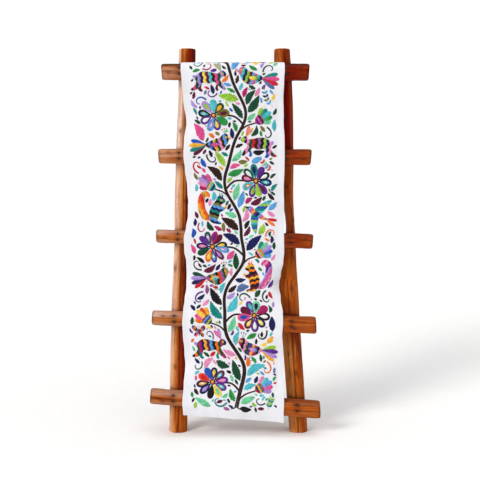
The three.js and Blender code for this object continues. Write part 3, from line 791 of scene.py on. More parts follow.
def squirrel(at, size, flip, stripes, brush):
    def put(points):
        return placed(points, at, 0.0, size, flip)

    side = -1 if flip else 1
    tail = put(spline(BRUSH))
    fill("embroidery_animals", [tail], 0.5 * side, None, stripes=(10.0, 4.0, 2.4, 25, brush))
    take(tail)
    body = put(spline(SQUIRREL))
    fill("embroidery_animals", [body], 1.3 * side, None, layer=1, stripes=(10.0, 2.0, 2.0, 21, stripes))
    take(body)
    for x in (20, 28):
        ear = put([(x, 54), (x + 2, 68), (x + 7, 55)])
        fill("embroidery_animals", [ear], 0.0, stripes[0], layer=1, rag=0.2)
    eye = np.column_stack([np.cos(ROUND_EYE), np.sin(ROUND_EYE)])
    fill("embroidery_animals", [put(eye * 3.8 + [28, 45])], 0.0, "yellow", layer=1.75, rag=0.1)
    fill("embroidery_animals", [put(eye * 1.9 + [28, 45])], 0.0, "soot", layer=2.55, rag=0.1)
    dot(put([(41, 22)])[0], 4.4 * size, "gold", layer=2, check=False, piece="embroidery_animals")


def butterfly(at, size, turn, upper, lower, check=True):
    if check and not free(placed([(-34, -24), (34, -24), (34, 30), (-34, 30)], at, turn, size), 0.0):
        return False
    for flip in (False, True):
        for ring, names in (([(2, 4), (12, 24), (28, 32), (35, 22), (28, 8), (12, 0)], upper), ([(2, 0), (14, -3), (25, -10), (24, -22), (13, -24), (5, -12)], lower)):
            w = placed(spline(ring), placed([(0, 0)], at)[0], 0, size, flip)
            w = placed(w - np.asarray(at, float), at, turn)
            fill("embroidery_animals", [w], turn + (2.5 if flip else 0.65), None, stripes=(6.8, 1.0, 1.0, 11, names))
            take(w)
    fill("embroidery_animals", [placed(spline([(0, 18), (2.6, 8), (2.2, -14), (0, -20), (-2.2, -14), (-2.6, 8)]), at, turn, size)], turn, "bark", layer=1)
    for x in (8, -8):
        line("embroidery_animals", placed(spline([(0, 17), (x * 0.5, 26), (x, 32)], closed=False, steps=4), at, turn, size), "bark", width=1.2)
    return True


# ---- the layout: one stem that swings from side to side, with what grows and lives in its bends
STEM = {"sway": 40.0, "wave": 520.0, "start": 46.0, "end": 1958.0, "thick": 16.5, "thin": 10.0}


def stem_u(v):
    v = np.asarray(v, float)
    return STEM["sway"] * np.sin(2 * np.pi * (v - 30) / STEM["wave"]) + 7 * np.sin(2 * np.pi * v / 197 + 1)


vs = np.linspace(STEM["start"], STEM["end"], 260)
stem_path = np.column_stack([stem_u(vs), vs])
stem_wide = np.interp(vs, [STEM["start"], 420, STEM["end"]], [STEM["thick"], 13.0, STEM["thin"]])
rope("embroidery_stems", stem_path, stem_wide, "bark", "soot")
take(ribbon(stem_path, stem_wide + 2))
for lean in (-1, 1):                          # the foot's two roots
    foot = spline([(stem_u(50) + lean * 2, 50), (stem_u(46) + lean * 9, 43), (stem_u(46) + lean * 21, 40)], closed=False)
    rope("embroidery_stems", foot, np.linspace(6, 2.5, len(foot)), "bark")


def branch(v, to, sag=0.0, thick=(8.5, 6.0)):
    """A side branch from the stem at v to a point."""
    a = np.array([float(stem_u(v)), v])
    b = np.asarray(to, float)
    mid = (a + b) / 2 + np.array([0, sag])
    p = spline([a, (a + mid) / 2 + [0, sag * 0.35], mid, b], closed=False, steps=10)
    rope("embroidery_stems", p, np.linspace(*thick, len(p)), "bark")
    take(ribbon(p, np.full(len(p), thick[0] + 1)))


# Rows up the cloth: each flower's place, size and petals, and where its branch leaves the stem.
ROSETTES = [
    {"u": -86, "v": 140, "r": 64, "n": 10, "from": 108, "sag": 16},
    {"u": 86, "v": 410, "r": 64, "n": 9, "from": 376, "sag": 18},
    {"u": -88, "v": 672, "r": 64, "n": 11, "from": 640, "sag": 16},
    {"u": 86, "v": 934, "r": 66, "n": 10, "from": 898, "sag": 18},
    {"u": -86, "v": 1188, "r": 64, "n": 9, "from": 1154, "sag": 16},
    {"u": 86, "v": 1452, "r": 63, "n": 10, "from": 1418, "sag": 16},
    {"u": -86, "v": 1712, "r": 64, "n": 10, "from": 1678, "sag": 16},
]
for row in ROSETTES:
    reach = math.copysign(row["r"] * 0.45, -row["u"])
    branch(row["from"], (row["u"] + reach, row["v"]), row["sag"])
    rosette((row["u"], row["v"]), row["r"], row["n"], turn=dice.random() * 6)

HARES = [
    {"u": -93, "v": 266, "size": 1.04, "flip": False, "stripes": ["sky", "soot", "orange", "forest", "magenta", "navy", "gold", "plum"], "limb": "teal", "ear": ("lavender", "rose")},
    {"u": 93, "v": 1062, "size": 1.04, "flip": True, "stripes": ["mauve", "soot", "lime", "navy", "pink", "forest", "red", "bark"], "limb": "blue", "ear": ("orange", "gold")},
    {"u": -92, "v": 1318, "size": 1.04, "flip": False, "stripes": ["aqua", "bark", "rose", "forest", "lavender", "navy", "yellow", "plum"], "limb": "plum", "ear": ("mint", "lime")},
    {"u": -94, "v": 1840, "size": 1.04, "flip": False, "stripes": ["sky", "plum", "gold", "forest", "pink", "navy", "orange", "slate"], "limb": "teal", "ear": ("rose", "lavender")},
]
for row in HARES:
    hare((row["u"], row["v"]), row["size"], row["flip"], row["stripes"], row["limb"], row["ear"])

SQUIRRELS = [
    {"u": 98, "v": 540, "size": 1.24, "flip": True, "stripes": ["orange", "soot", "plum", "gold", "bark"], "brush": ["rose", "pink", "magenta", "violet", "lavender"]},
    {"u": -96, "v": 800, "size": 1.25, "flip": False, "stripes": ["teal", "navy", "sky", "olive", "soot"], "brush": ["gold", "orange", "scarlet", "red", "tan"]},
    {"u": 96, "v": 1584, "size": 1.24, "flip": True, "stripes": ["mauve", "plum", "pink", "slate", "navy"], "brush": ["lime", "leaf", "mint", "teal", "forest"]},
]
for row in SQUIRRELS:
    squirrel((row["u"], row["v"]), row["size"], row["flip"], row["stripes"], row["brush"])

BIRDS = [
    {"u": 80, "v": 268, "size": 1.02, "flip": True, "stripes": ["magenta", "soot", "pink", "forest", "violet", "gold"], "tails": ["gold", "lavender", "violet", "lime"], "wing": ("navy", "sky", "pink"), "crest": "blue"},
    {"u": -80, "v": 540, "size": 1.02, "flip": False, "stripes": ["teal", "soot", "scarlet", "mauve", "forest", "tan"], "tails": ["red", "navy", "lavender", "forest"], "wing": ("orange", "gold", "aqua"), "crest": "red"},
    {"u": -78, "v": 1064, "size": 1.02, "flip": False, "stripes": ["gold", "forest", "pink", "bark", "sky", "navy"], "tails": ["plum", "teal", "gold", "blue"], "wing": ("violet", "mauve", "rose"), "crest": "tan"},
    {"u": 80, "v": 1326, "size": 1.02, "flip": True, "stripes": ["rose", "aqua", "navy", "lime", "plum", "sky"], "tails": ["slate", "red", "rose", "teal"], "wing": ("forest", "lime", "yellow"), "crest": "magenta"},
    {"u": -78, "v": 1584, "size": 1.02, "flip": False, "stripes": ["sky", "olive", "rose", "navy", "gold", "plum"], "tails": ["gold", "scarlet", "teal", "violet"], "wing": ("teal", "mint", "lime"), "crest": "red"},
    {"u": 80, "v": 1846, "size": 1.02, "flip": True, "stripes": ["violet", "pink", "forest", "orange", "sky", "bark"], "tails": ["rose", "navy", "gold", "leaf"], "wing": ("magenta", "rose", "pink"), "crest": None},
]
for row in BIRDS:
    bird((row["u"], row["v"]), row["size"], row["flip"], row["stripes"], row["tails"], row["wing"], crest=row["crest"])

SWALLOWS = [
    {"u": 96, "v": 800, "size": 1.18, "flip": True, "turn": -0.35, "body": ["navy", "sky", "rose", "gold", "violet"], "wings": ["teal", "aqua", "lime", "blue"], "tail": ("red", "orange")},
]
for row in SWALLOWS:
    swallow((row["u"], row["v"]), row["size"], row["flip"], row["turn"], row["body"], row["wings"], row["tail"])

TULIPS = [
    {"u": 88, "v": 116, "turn": 0.55, "size": 1.12, "from": 74, "colours": ["pink", "lavender", "aqua", "rose", "sky"], "base": ["red", "navy", "gold", "teal"]},
    {"u": -86, "v": 372, "turn": 2.5, "size": 1.12, "from": 338, "colours": ["orange", "gold", "rose", "scarlet", "yellow"], "base": ["plum", "lime", "violet", "sky"]},
    {"u": 86, "v": 640, "turn": 0.6, "size": 1.12, "from": 604, "colours": ["teal", "sky", "mint", "blue", "lavender"], "base": ["orange", "bark", "pink", "lime"]},
    {"u": -86, "v": 898, "turn": 2.55, "size": 1.12, "from": 864, "colours": ["magenta", "rose", "pink", "mauve", "lavender"], "base": ["teal", "navy", "aqua", "gold"]},
    {"u": 86, "v": 1160, "turn": 0.6, "size": 1.12, "from": 1124, "colours": ["lime", "mint", "teal", "leaf", "aqua"], "base": ["magenta", "violet", "rose", "navy"]},
    {"u": -86, "v": 1424, "turn": 2.55, "size": 1.1, "from": 1390, "colours": ["sky", "blue", "lavender", "navy", "violet"], "base": ["scarlet", "gold", "plum", "orange"]},
    {"u": 86, "v": 1686, "turn": 0.6, "size": 1.1, "from": 1650, "colours": ["rose", "pink", "orange", "red", "gold"], "base": ["teal", "forest", "lime", "navy"]},
]
for row in TULIPS:
    branch(row["from"], (row["u"], row["v"]), 8, (7.0, 5.0))
    tulip((row["u"], row["v"]), row["turn"], row["size"], row["colours"], row["base"])

# leaves along the stem
GREENS = ["leaf", "forest", "teal", "lime", "aqua", "sky", "mint", "magenta", "red", "pink", "leaf", "rose", "forest", "aqua", "lavender", "navy", "soot", "forest", "plum", "bark"]
for k, v in enumerate(np.arange(66, 1950, 27)):
    for side in (1, -1):
        slope = math.atan2(1.0, float(stem_u(v + 1) - stem_u(v - 1)) / 2)
        half = np.interp(v, [STEM["start"], 420, STEM["end"]], [STEM["thick"], 13.0, STEM["thin"]]) / 2
        for long, spread in [(l, a) for l in (82, 68, 56, 45, 34) for a in (0.62, 0.9, 0.4)]:
            turn = slope - side * spread
            at = np.array([float(stem_u(v)), v]) + (half + 3.2) * np.array([math.sin(slope) * side, -math.cos(slope) * side]) + 2 * np.array([math.cos(turn), math.sin(turn)])
            if leaf(at, turn, long * (0.92 + 0.16 * dice.random()), long * 0.38, GREENS[dice.integers(len(GREENS))], bend=0.07 * side * dice.standard_normal(), teeth=max(3, long // 9), grow=0.6):
                break

# what fills the rest, from large to small
LEAFY = ["aqua", "sky", "teal", "lime", "mint", "leaf", "pink", "rose", "lavender", "magenta", "orange", "gold", "red", "blue", "aqua", "sky", "pink", "lime", "mauve",
         "forest", "navy", "soot", "plum", "teal", "leaf", "violet", "olive", "yellow", "forest", "soot", "navy", "plum", "bark", "soot", "forest", "slate", "soot", "forest", "navy", "bark"]
FERNS = ["lavender", "lavender", "mauve", "aqua", "lavender", "pink", "sky", "lavender"]
for k in range(900):
    at = np.array([dice.uniform(-150, 150), dice.uniform(60, 1900)])
    turn = dice.uniform(1.0, 2.1)
    long = dice.uniform(74, 96)
    along_fern = np.array([math.cos(turn), math.sin(turn)])
    bow = 6 * dice.standard_normal() * np.array([-along_fern[1], along_fern[0]])
    sprig([at, at + along_fern * long * 0.5 + bow, at + along_fern * long], FERNS[k % len(FERNS)], 6, size=24)
CURLS = ["navy", "red", "forest", "magenta", "blue", "violet", "orange", "teal", "soot"]
for k in range(1500):
    curl((dice.uniform(-150, 150), dice.uniform(60, 1940)), dice.uniform(0, 6.28), dice.uniform(34, 46), CURLS[dice.integers(len(CURLS))], hand=1 if dice.random() < 0.5 else -1)
for _ in range(400):
    butterfly((dice.uniform(-140, 140), dice.uniform(70, 1930)), 0.8, 0.5 * dice.standard_normal(), some(3), some(3))
for size, tries in ((84, 2600), (70, 2800), (58, 3200), (47, 3600), (38, 4200), (30, 4600), (23, 4200)):
    for _ in range(tries):
        at = np.array([dice.uniform(-166, 166), dice.uniform(40, 1962)])
        turn = dice.uniform(0.35, 2.8) if dice.random() < 0.75 else dice.uniform(0, 6.28)
        if size > 45 and abs(math.sin(turn)) > 0.6 and dice.random() < 0.4:
            c, s = math.cos(turn), math.sin(turn)
            bow = 8 * dice.standard_normal()
            path = [at, at + np.array([c, s]) * size * 0.5 + np.array([-s, c]) * bow, at + np.array([c, s]) * size * 1.05]
            tones = some(1) + ["lime"] if dice.random() < 0.6 else some(3)
            sprig(path, tones, 5, size=16, stem="bark" if dice.random() < 0.5 else None)
        else:
            leaf(at, turn, size, size * dice.uniform(0.36, 0.5), LEAFY[dice.integers(len(LEAFY))], bend=0.08 * dice.standard_normal(), teeth=int(size // 9) if dice.random() < 0.7 else 0, grow=0.6)
for size, tries in ((27, 3000), (20, 3600), (15, 3000)):
    for _ in range(tries):
        leaf((dice.uniform(-164, 164), dice.uniform(42, 1958)), dice.uniform(0, 6.28), size, size * 0.46, LEAFY[dice.integers(len(LEAFY))], teeth=0, grow=0.25, piece="embroidery_sprigs")
for _ in range(420):
    dot((dice.uniform(-164, 164), dice.uniform(44, 1956)), dice.uniform(2.2, 3.6), BRIGHT[dice.integers(len(BRIGHT))])
# ------------------------------------------------------------------ the ladder's poles
ROUND = 104                                  # points round a rail
KNOTS = {  # pole: rows of (along mm, angle in degrees with -90 to the front, size mm, height mm)
    "rail_left": [(250, -118, 17, 1.6), (505, -62, 15, 1.4), (640, -140, 20, 2.0), (905, -75, 14, 1.2), (1180, -128, 17, 1.6), (1290, -50, 13, 1.0)],
    "rail_right": [(225, -78, 20, 1.8), (300, -120, 14, 1.2), (560, -70, 18, 2.0), (830, -60, 15, 2.2), (960, -95, 14, 1.4), (1230, -80, 17, 1.5)],
    "rung_1": [(28, -110, 10, 0.8), (548, -70, 11, 0.8)], "rung_2": [(40, -60, 10, 0.8), (572, -112, 12, 0.9)], "rung_3": [(35, -100, 9, 0.7), (585, -80, 10, 0.8)],
    "rung_4": [(44, -70, 12, 0.9), (560, -125, 12, 0.9)], "rung_5": [(50, -118, 12, 0.9), (575, -66, 13, 0.9)],
}
SPLITS = {  # pole: rows of (from mm, to mm, angle, drift in degrees, depth mm, width mm)
    "rail_left": [(-11, 300, -86, 4, 2.4, 2.8), (250, 520, -88, 5, 2.4, 2.8), (470, 735, -92, -5, 2.3, 2.7), (740, 1120, -90, 5, 1.9, 2.0), (30, 170, -112, 5, 1.3, 1.4), (330, 470, -125, 5, 1.4, 1.5), (480, 700, -58, 8, 1.8, 1.7), (610, 740, -104, -4, 1.2, 1.4),
                  (790, 1040, -66, 5, 1.7, 1.6), (830, 980, -122, 6, 1.3, 1.4), (1120, 1380, -60, -6, 1.8, 1.7), (1150, 1300, -112, 4, 1.2, 1.4), (1330, 1500, -92, 5, 1.5, 1.6)],
    "rail_right": [(-11, 215, -90, 4, 2.4, 2.7), (165, 400, -88, -4, 2.4, 2.7), (190, 380, -122, -6, 1.3, 1.4), (260, 400, -62, 4, 1.3, 1.4), (450, 600, -98, 9, 1.7, 1.6), (640, 900, -74, -8, 1.8, 1.7),
                   (900, 1060, -110, 5, 1.3, 1.4), (960, 1200, -66, 6, 1.7, 1.6), (1180, 1390, -96, -7, 1.6, 1.5), (1400, 1505, -72, 4, 1.5, 1.6)],
    "rung_1": [(0, 52, -96, 6, 1.3, 1.5), (505, 582, -84, -5, 1.3, 1.5)], "rung_2": [(0, 70, -78, 5, 1.3, 1.5), (520, 602, -102, -5, 1.4, 1.5)],
    "rung_3": [(0, 64, -110, 6, 1.3, 1.5), (540, 616, -92, 5, 1.3, 1.5)], "rung_4": [(0, 110, -86, -5, 1.4, 1.5), (545, 641, -78, 7, 1.5, 1.5)],
    "rung_5": [(0, 120, -98, 5, 1.5, 1.5), (565, 662, -106, -6, 1.7, 1.6), (590, 662, -70, 5, 1.4, 1.4)],
}
LEVEL = {"rail": 0.55, "rung": 0.45}          # how far the surface wanders, mm


RED_TONE_AND_SHADE = {  # rung: rows of (along mm, how dark red it is): a slight red tone at the left end, painted shade towards the right end, deepest just right of the cloth
    "rung_1": [(0, 0.1), (70, 0.25), (500, 0.96), (582, 0.87)], "rung_2": [(0, 0.05), (70, 0.15), (530, 0.8), (602, 0.58)], "rung_3": [(0, 0.12), (70, 0.2), (540, 0.75), (616, 0.56)],
    "rung_4": [(0, 0.2), (90, 0.25), (550, 0.55), (641, 0.42)], "rung_5": [(0, 0.1), (90, 0.2), (560, 0.4), (662, 0.3)],
}
PAINTED_LIGHT = {  # rung: rows of (along mm, how pale the painted light on its lit flank is)
    "rung_1": [(0, 0.64), (90, 0.5), (500, 0.0), (582, 0.0)], "rung_2": [(0, 0.68), (90, 0.5), (530, 0.05), (602, 0.06)], "rung_3": [(0, 0.95), (90, 0.6), (540, 0.05), (616, 0.08)],
    "rung_4": [(0, 1.0), (90, 0.75), (550, 0.05), (641, 0.05)], "rung_5": [(0, 0.66), (60, 0.7), (120, 0.7), (560, 0.15), (662, 0.2)],
}
LIT = {"rung_1": -105, "rung_2": -62, "rung_3": -28, "rung_4": -34, "rung_5": -28}     # the way the flank with painted light on a rung faces, degrees
GRIME = {  # rung: rows of (along mm, how dark its top has gone)
    "rung_1": [(0, 0.95), (90, 0.95), (490, 0.9), (582, 0.9)], "rung_2": [(0, 0.05), (90, 0.15), (520, 0.42), (602, 0.4)], "rung_3": [(0, 0.16), (90, 0.2), (540, 0.42), (616, 0.4)],
    "rung_4": [(0, 0.0), (90, 0.1), (550, 0.42), (641, 0.42)], "rung_5": [(0, 0.2), (110, 0.22), (560, 0.48), (662, 0.46)],
}
LINE = {  # rail: rows of (along mm, share of the width where the pale flank ends, dark red left of it, dark red right of it, how pale left of it). The pale flank is painted light; the dark red is painted shade over a slight red tone.
    "rail_left": [(-16, 0.40, 0.05, 0.22, 0.70), (90, 0.38, 0.05, 0.30, 0.72), (140, 0.40, 0.05, 0.88, 0.70), (400, 0.44, 0.05, 0.86, 0.74), (460, 0.51, 0.05, 0.85, 0.74), (720, 0.52, 0.05, 0.85, 0.76), (780, 0.56, 0.05, 0.93, 0.74),
                  (1050, 0.58, 0.03, 0.91, 0.80), (1100, 0.58, 0.0, 0.60, 0.90), (1390, 0.56, 0.0, 0.60, 0.90), (1430, 0.47, 0.12, 0.93, 0.5), (1505, 0.47, 0.12, 0.93, 0.5)],
    "rail_right": [(-16, 0.55, 0.0, 0.38, 0.40), (90, 0.55, 0.0, 0.38, 0.38), (140, 0.58, 0.02, 0.42, 0.36), (340, 0.58, 0.08, 0.42, 0.30), (450, 0.45, 0.50, 0.36, 0.0), (720, 0.45, 0.50, 0.38, 0.0), (780, 0.80, 0.55, 0.34, 0.0),
                   (1050, 0.80, 0.56, 0.36, 0.0), (1100, 0.88, 1.0, 0.68, 0.0), (1390, 0.88, 1.0, 0.68, 0.0), (1430, 0.42, 0.2, 0.72, 0.0), (1505, 0.42, 0.2, 0.72, 0.0)],
}


HEWN = {"rail": 0.62, "rung": 0.85}          # how flat the eight hewn sides are
BELLY = [(4.5, 5.5), (2.4, 5.0), (0, 5.8), (0, 5.6), (0, 6.4)]   # rungs: how far the underside stands off its round, left and right, mm
SAWN = [(4, 3.5), (3, 4), (2.4, 1.5), (0, -5), (0, -7)]   # rung ends: how far the saw cut leans, left and right, mm


def eight(angle, ridge):
    """The radius of an eight-sided pole against its corners, and how near each point is to a corner. ridge is the angle of one corner."""
    off = np.mod(angle - ridge, np.pi / 4)
    return math.cos(np.pi / 8) / np.cos(off - np.pi / 8), np.exp(-((np.minimum(off, np.pi / 4 - off) / 0.11) ** 2))


def weathered(name, along, angle, size, seed):
    """How far a pole's skin stands off its round, and how split, knotty and worn it is, at each point. along is in mm, angle in radians, size is the radius there."""
    r = np.random.default_rng(seed)
    out = np.zeros_like(along)
    level = LEVEL[name[:4]]
    for k in range(9):                       # slow swells and hewn flats
        n, w, p = r.integers(1, 6), 2 * np.pi / r.uniform(70, 320), r.uniform(0, 6.28)
        out += level * 0.34 * np.cos(n * angle + w * along + p)
    out += level * 0.42 * np.abs(np.cos(2.5 * angle + 0.004 * along + r.uniform(0, 3))) - level * 0.25
    ripple = np.zeros_like(along)            # adze marks
    for k in range(5):
        n, w, p = r.integers(3, 11), 2 * np.pi / r.uniform(24, 60), r.uniform(0, 6.28)
        ripple += 0.13 * level * np.cos(n * angle + w * along + p)
    out += ripple
    split, knot = np.zeros_like(along), np.zeros_like(along)
    swirl = np.zeros_like(along)
    for s0, s1, deg, drift, deep, wide in SPLITS[name]:
        a = (along - s0) / (s1 - s0)
        way = np.radians(deg + drift * np.sin(a * 5) * 0.5 + drift * (a - 0.5))
        arc = (np.mod(angle - way + np.pi, 2 * np.pi) - np.pi) * size
        fade = np.clip(a / 0.12, 0, 1) * np.clip((1 - a) / 0.12, 0, 1)
        if s0 <= 0:
            fade = np.clip((1 - a) / 0.3, 0, 1) * (a > -0.1)
        cut = fade * np.exp(-((arc / wide) ** 2))
        split = np.maximum(split, cut)
        out -= deep * cut
    for s0, deg, wide, high in KNOTS[name]:
        arc = (np.mod(angle - np.radians(deg) + np.pi, 2 * np.pi) - np.pi) * size
        d2 = ((along - s0) / (1.5 * wide)) ** 2 + (arc / wide) ** 2
        out += high * np.exp(-1.6 * d2) - 0.75 * high * np.exp(-14 * d2)
        knot = np.maximum(knot, np.exp(-5.5 * d2))
        swirl += arc / size * np.exp(-d2)
    wear_and_highlight = np.clip(0.5 + out / (2.4 * level), 0, 1)
    return out, split, knot, swirl, wear_and_highlight


def build_pole(name, rings, along, angle, size):
    """A pole's mesh from rings of points (steps, round, 3), with closed ends."""
    steps, around = rings.shape[:2]
    idx = np.arange(steps * around).reshape(steps, around)
    nxt = np.roll(idx, -1, axis=1)
    quads = np.column_stack([idx[:-1].ravel(), nxt[:-1].ravel(), nxt[1:].ravel(), idx[1:].ravel()])
    verts = [rings.reshape(-1, 3)]
    faces = [quads]
    data = [np.column_stack([along.ravel(), (size * np.cos(angle)).ravel(), (size * np.sin(angle)).ravel()])]
    extra = []
    base = steps * around
    crack = []
    for end, flip in ((0, True), (steps - 1, False)):
        checks = [0.9 + 0.31 * (sum(map(ord, name)) % 7) + end, 3.1 + end * 0.7 + 0.2 * len(name), 4.6 + 0.13 * end]      # short splits from the heart of the end grain
        ring = rings[end]
        mid = ring.mean(0)
        last = idx[end]
        for share in (0.9, 0.7, 0.45, 0.2):
            inner = mid + (ring - mid) * share
            now = np.arange(base, base + around)
            verts.append(inner)
            data.append(np.column_stack([along[end], share * size[end] * np.cos(angle[end]), share * size[end] * np.sin(angle[end])]))
            extra.append(np.full(around, 0.2 + 0.25 * share))
            off = np.min([np.abs(np.mod(angle[end] - way + np.pi, 2 * np.pi) - np.pi) for way in checks], axis=0)
            crack.append(np.exp(-((off * share * size[end] / 1.5) ** 2)) * (share < 0.8))
            q = np.column_stack([last, np.roll(last, -1), np.roll(now, -1), now])
            faces.append(q[:, ::-1] if flip else q)
            last = now
            base += around
        verts.append(mid[None])
        data.append(np.array([[along[end].mean(), 0, 0]]))
        extra.append(np.full(1, 0.35))
        crack.append(np.ones(1))
        tri = np.column_stack([last, np.roll(last, -1), np.full(around, base)])
        faces.append(tri[:, ::-1] if flip else tri)
        base += 1
    ob = add_mesh(name + "_pole", to_world(np.vstack(verts)), [f for block in faces for f in block.tolist()])
    return ob, np.vstack(data), np.stack([np.concatenate(extra), np.concatenate(crack)])


def finish_pole(ob, data, extra, split, knot, swirl, wear_and_highlight, stain_and_shade, red_tone_and_shade, pale_and_painted_light, seed):
    shift = np.random.default_rng(seed).uniform(-3, 3, 3) * 1000
    pole = data.copy()
    count = split.size
    pole[:count, 1] += 9.0 * swirl.ravel()
    pole[:count, 2] -= 7.0 * swirl.ravel()
    point_values(ob, "pole", "FLOAT_VECTOR", pole * 0.001)
    point_values(ob, "shift", "FLOAT_VECTOR", np.broadcast_to(shift * 0.001, pole.shape))
    extra, crack = extra
    zero = np.zeros_like(extra)
    point_values(ob, "cap", "FLOAT", np.concatenate([0 * split.ravel(), zero + 1]))
    point_values(ob, "split", "FLOAT", np.concatenate([split.ravel(), crack]))
    point_values(ob, "knot", "FLOAT", np.concatenate([knot.ravel(), zero]))
    point_values(ob, "wear_and_highlight", "FLOAT", np.concatenate([wear_and_highlight.ravel(), zero]))
    point_values(ob, "stain_and_shade", "FLOAT", np.concatenate([stain_and_shade.ravel(), extra]))
    point_values(ob, "red_tone_and_shade", "FLOAT", np.concatenate([red_tone_and_shade.ravel(), zero + 0.2]))
    point_values(ob, "pale_and_painted_light", "FLOAT", np.concatenate([pale_and_painted_light.ravel(), zero + 0.15]))
    return ob


def eased(table, column, at, reach=45.0):
    """A table's column along straight lines from row to row, with its corners rounded."""
    t = np.asarray(table, float)
    steps = np.linspace(-1, 1, 9) * reach
    room = np.minimum(1.0, np.minimum(at - t[0, 0], t[-1, 0] - at) / reach)
    return sum(np.interp(at + s * room, t[:, 0], t[:, column]) for s in steps) / len(steps)


def rail(name, table, seed):
    back = 30.395 + RAIL_DEPTH / 2 - SADDLE
    zs = np.concatenate([[-FOOT, 1.2 - FOOT, 3.5 - FOOT], np.arange(8 - FOOT, LADDER_LENGTH - 6, 7.0), [LADDER_LENGTH - 3.5, LADDER_LENGTH - 1.2, LADDER_LENGTH]])
    th = -np.pi / 2 + 2 * np.pi * np.arange(ROUND) / ROUND
    along, angle = np.meshgrid(zs, th, indexing="ij")
    left, right = (eased(table, column, along) for column in (1, 2))
    a, b = (right - left) / 2, RAIL_DEPTH / 2
    size = a * b / np.sqrt((b * np.cos(angle)) ** 2 + (a * np.sin(angle)) ** 2)
    hewn, corner = eight(angle, -np.pi / 2 - np.pi / 8 + 0.1 * np.sin(along / 260 + seed))
    size = size * (1 + HEWN["rail"] * (hewn / math.cos(np.pi / 8) - 1))
    out, split, knot, swirl, wear_and_highlight = weathered(name, along, angle, size, seed)
    # wear on the high places, with a painted highlight along the hewn ridges
    wear_and_highlight = np.clip(0.6 * wear_and_highlight + 0.6 * corner, 0, 1)
    end_in = np.minimum(along + FOOT, LADDER_LENGTH - along)
    r = size + out - np.interp(end_in, [0, 1.2, 3.5, 8], [3.0, 1.3, 0.4, 0])
    x, y = (left + right) / 2 + r * np.cos(angle), back + r * np.sin(angle)
    z = along + np.clip(1 - (along + FOOT) / 165, 0, 1) * y * math.tan(LEAN)
    stain_and_shade = np.zeros_like(z)
    for k in range(5):                       # the saddles that the rungs lie in
        zk, rk = rung_at(k, x)
        rk = rk + GAP + 0.5
        dz = np.abs(z - zk)
        seat = np.sqrt(np.maximum(0, rk**2 - dz**2))
        y = np.where((dz < rk) & (y < seat), np.maximum(y, seat), y)
        stain_and_shade = np.maximum(stain_and_shade, 0.75 * np.exp(-((np.maximum(0, dz - rk + 3) / 7) ** 2)) * (y < back))
    rings = np.stack([x, y, z], axis=-1)
    # painted light: the front left of the line is painted pale where the key light falls; painted shade: dark red is
    # painted where the pole turns from the key light or lies in the cloth's shadow, over a slight red tone
    line, red_and_shade_left, red_and_shade_right, pale = (np.interp(along, np.array(LINE[name])[:, 0], np.array(LINE[name])[:, c]) for c in (1, 2, 3, 4))
    across = 0.5 + 0.5 * np.cos(angle)       # 0 at the left edge, 1 at the right
    front = smooth((0.35 - np.sin(angle)) / 0.5)
    red_tone_and_shade = red_and_shade_left + (red_and_shade_right - red_and_shade_left) * smooth((across - line + 0.22) / 0.44)
    red_tone_and_shade = 0.12 + (red_tone_and_shade - 0.12) * front
    pale_and_painted_light = pale * (1 - smooth((across - line + 0.38) / 0.4)) * front
    if name == "rail_left":                  # painted shadow of the cloth on the right flank between the top two rungs; painted light on the left edge above the top rung, with a dark line beside it
        stain_and_shade = np.maximum(stain_and_shade, 0.42 * smooth((across - 0.2) / 0.34) * front * smooth((along - 1085) / 30) * smooth((1405 - along) / 20))
        high_up = front * smooth((along - 1415) / 15)
        pale_and_painted_light = np.maximum(pale_and_painted_light * (1 - high_up), 0.9 * (1 - smooth((across - 0.09) / 0.1)) * high_up)
        stain_and_shade = np.maximum(stain_and_shade, 0.66 * np.exp(-(((across - 0.24) / 0.07) ** 2)) * high_up)
    ob, data, extra = build_pole(name, rings, along, angle, r)
    return finish_pole(ob, data, extra, split, knot, swirl, wear_and_highlight, stain_and_shade, red_tone_and_shade, pale_and_painted_light, seed)


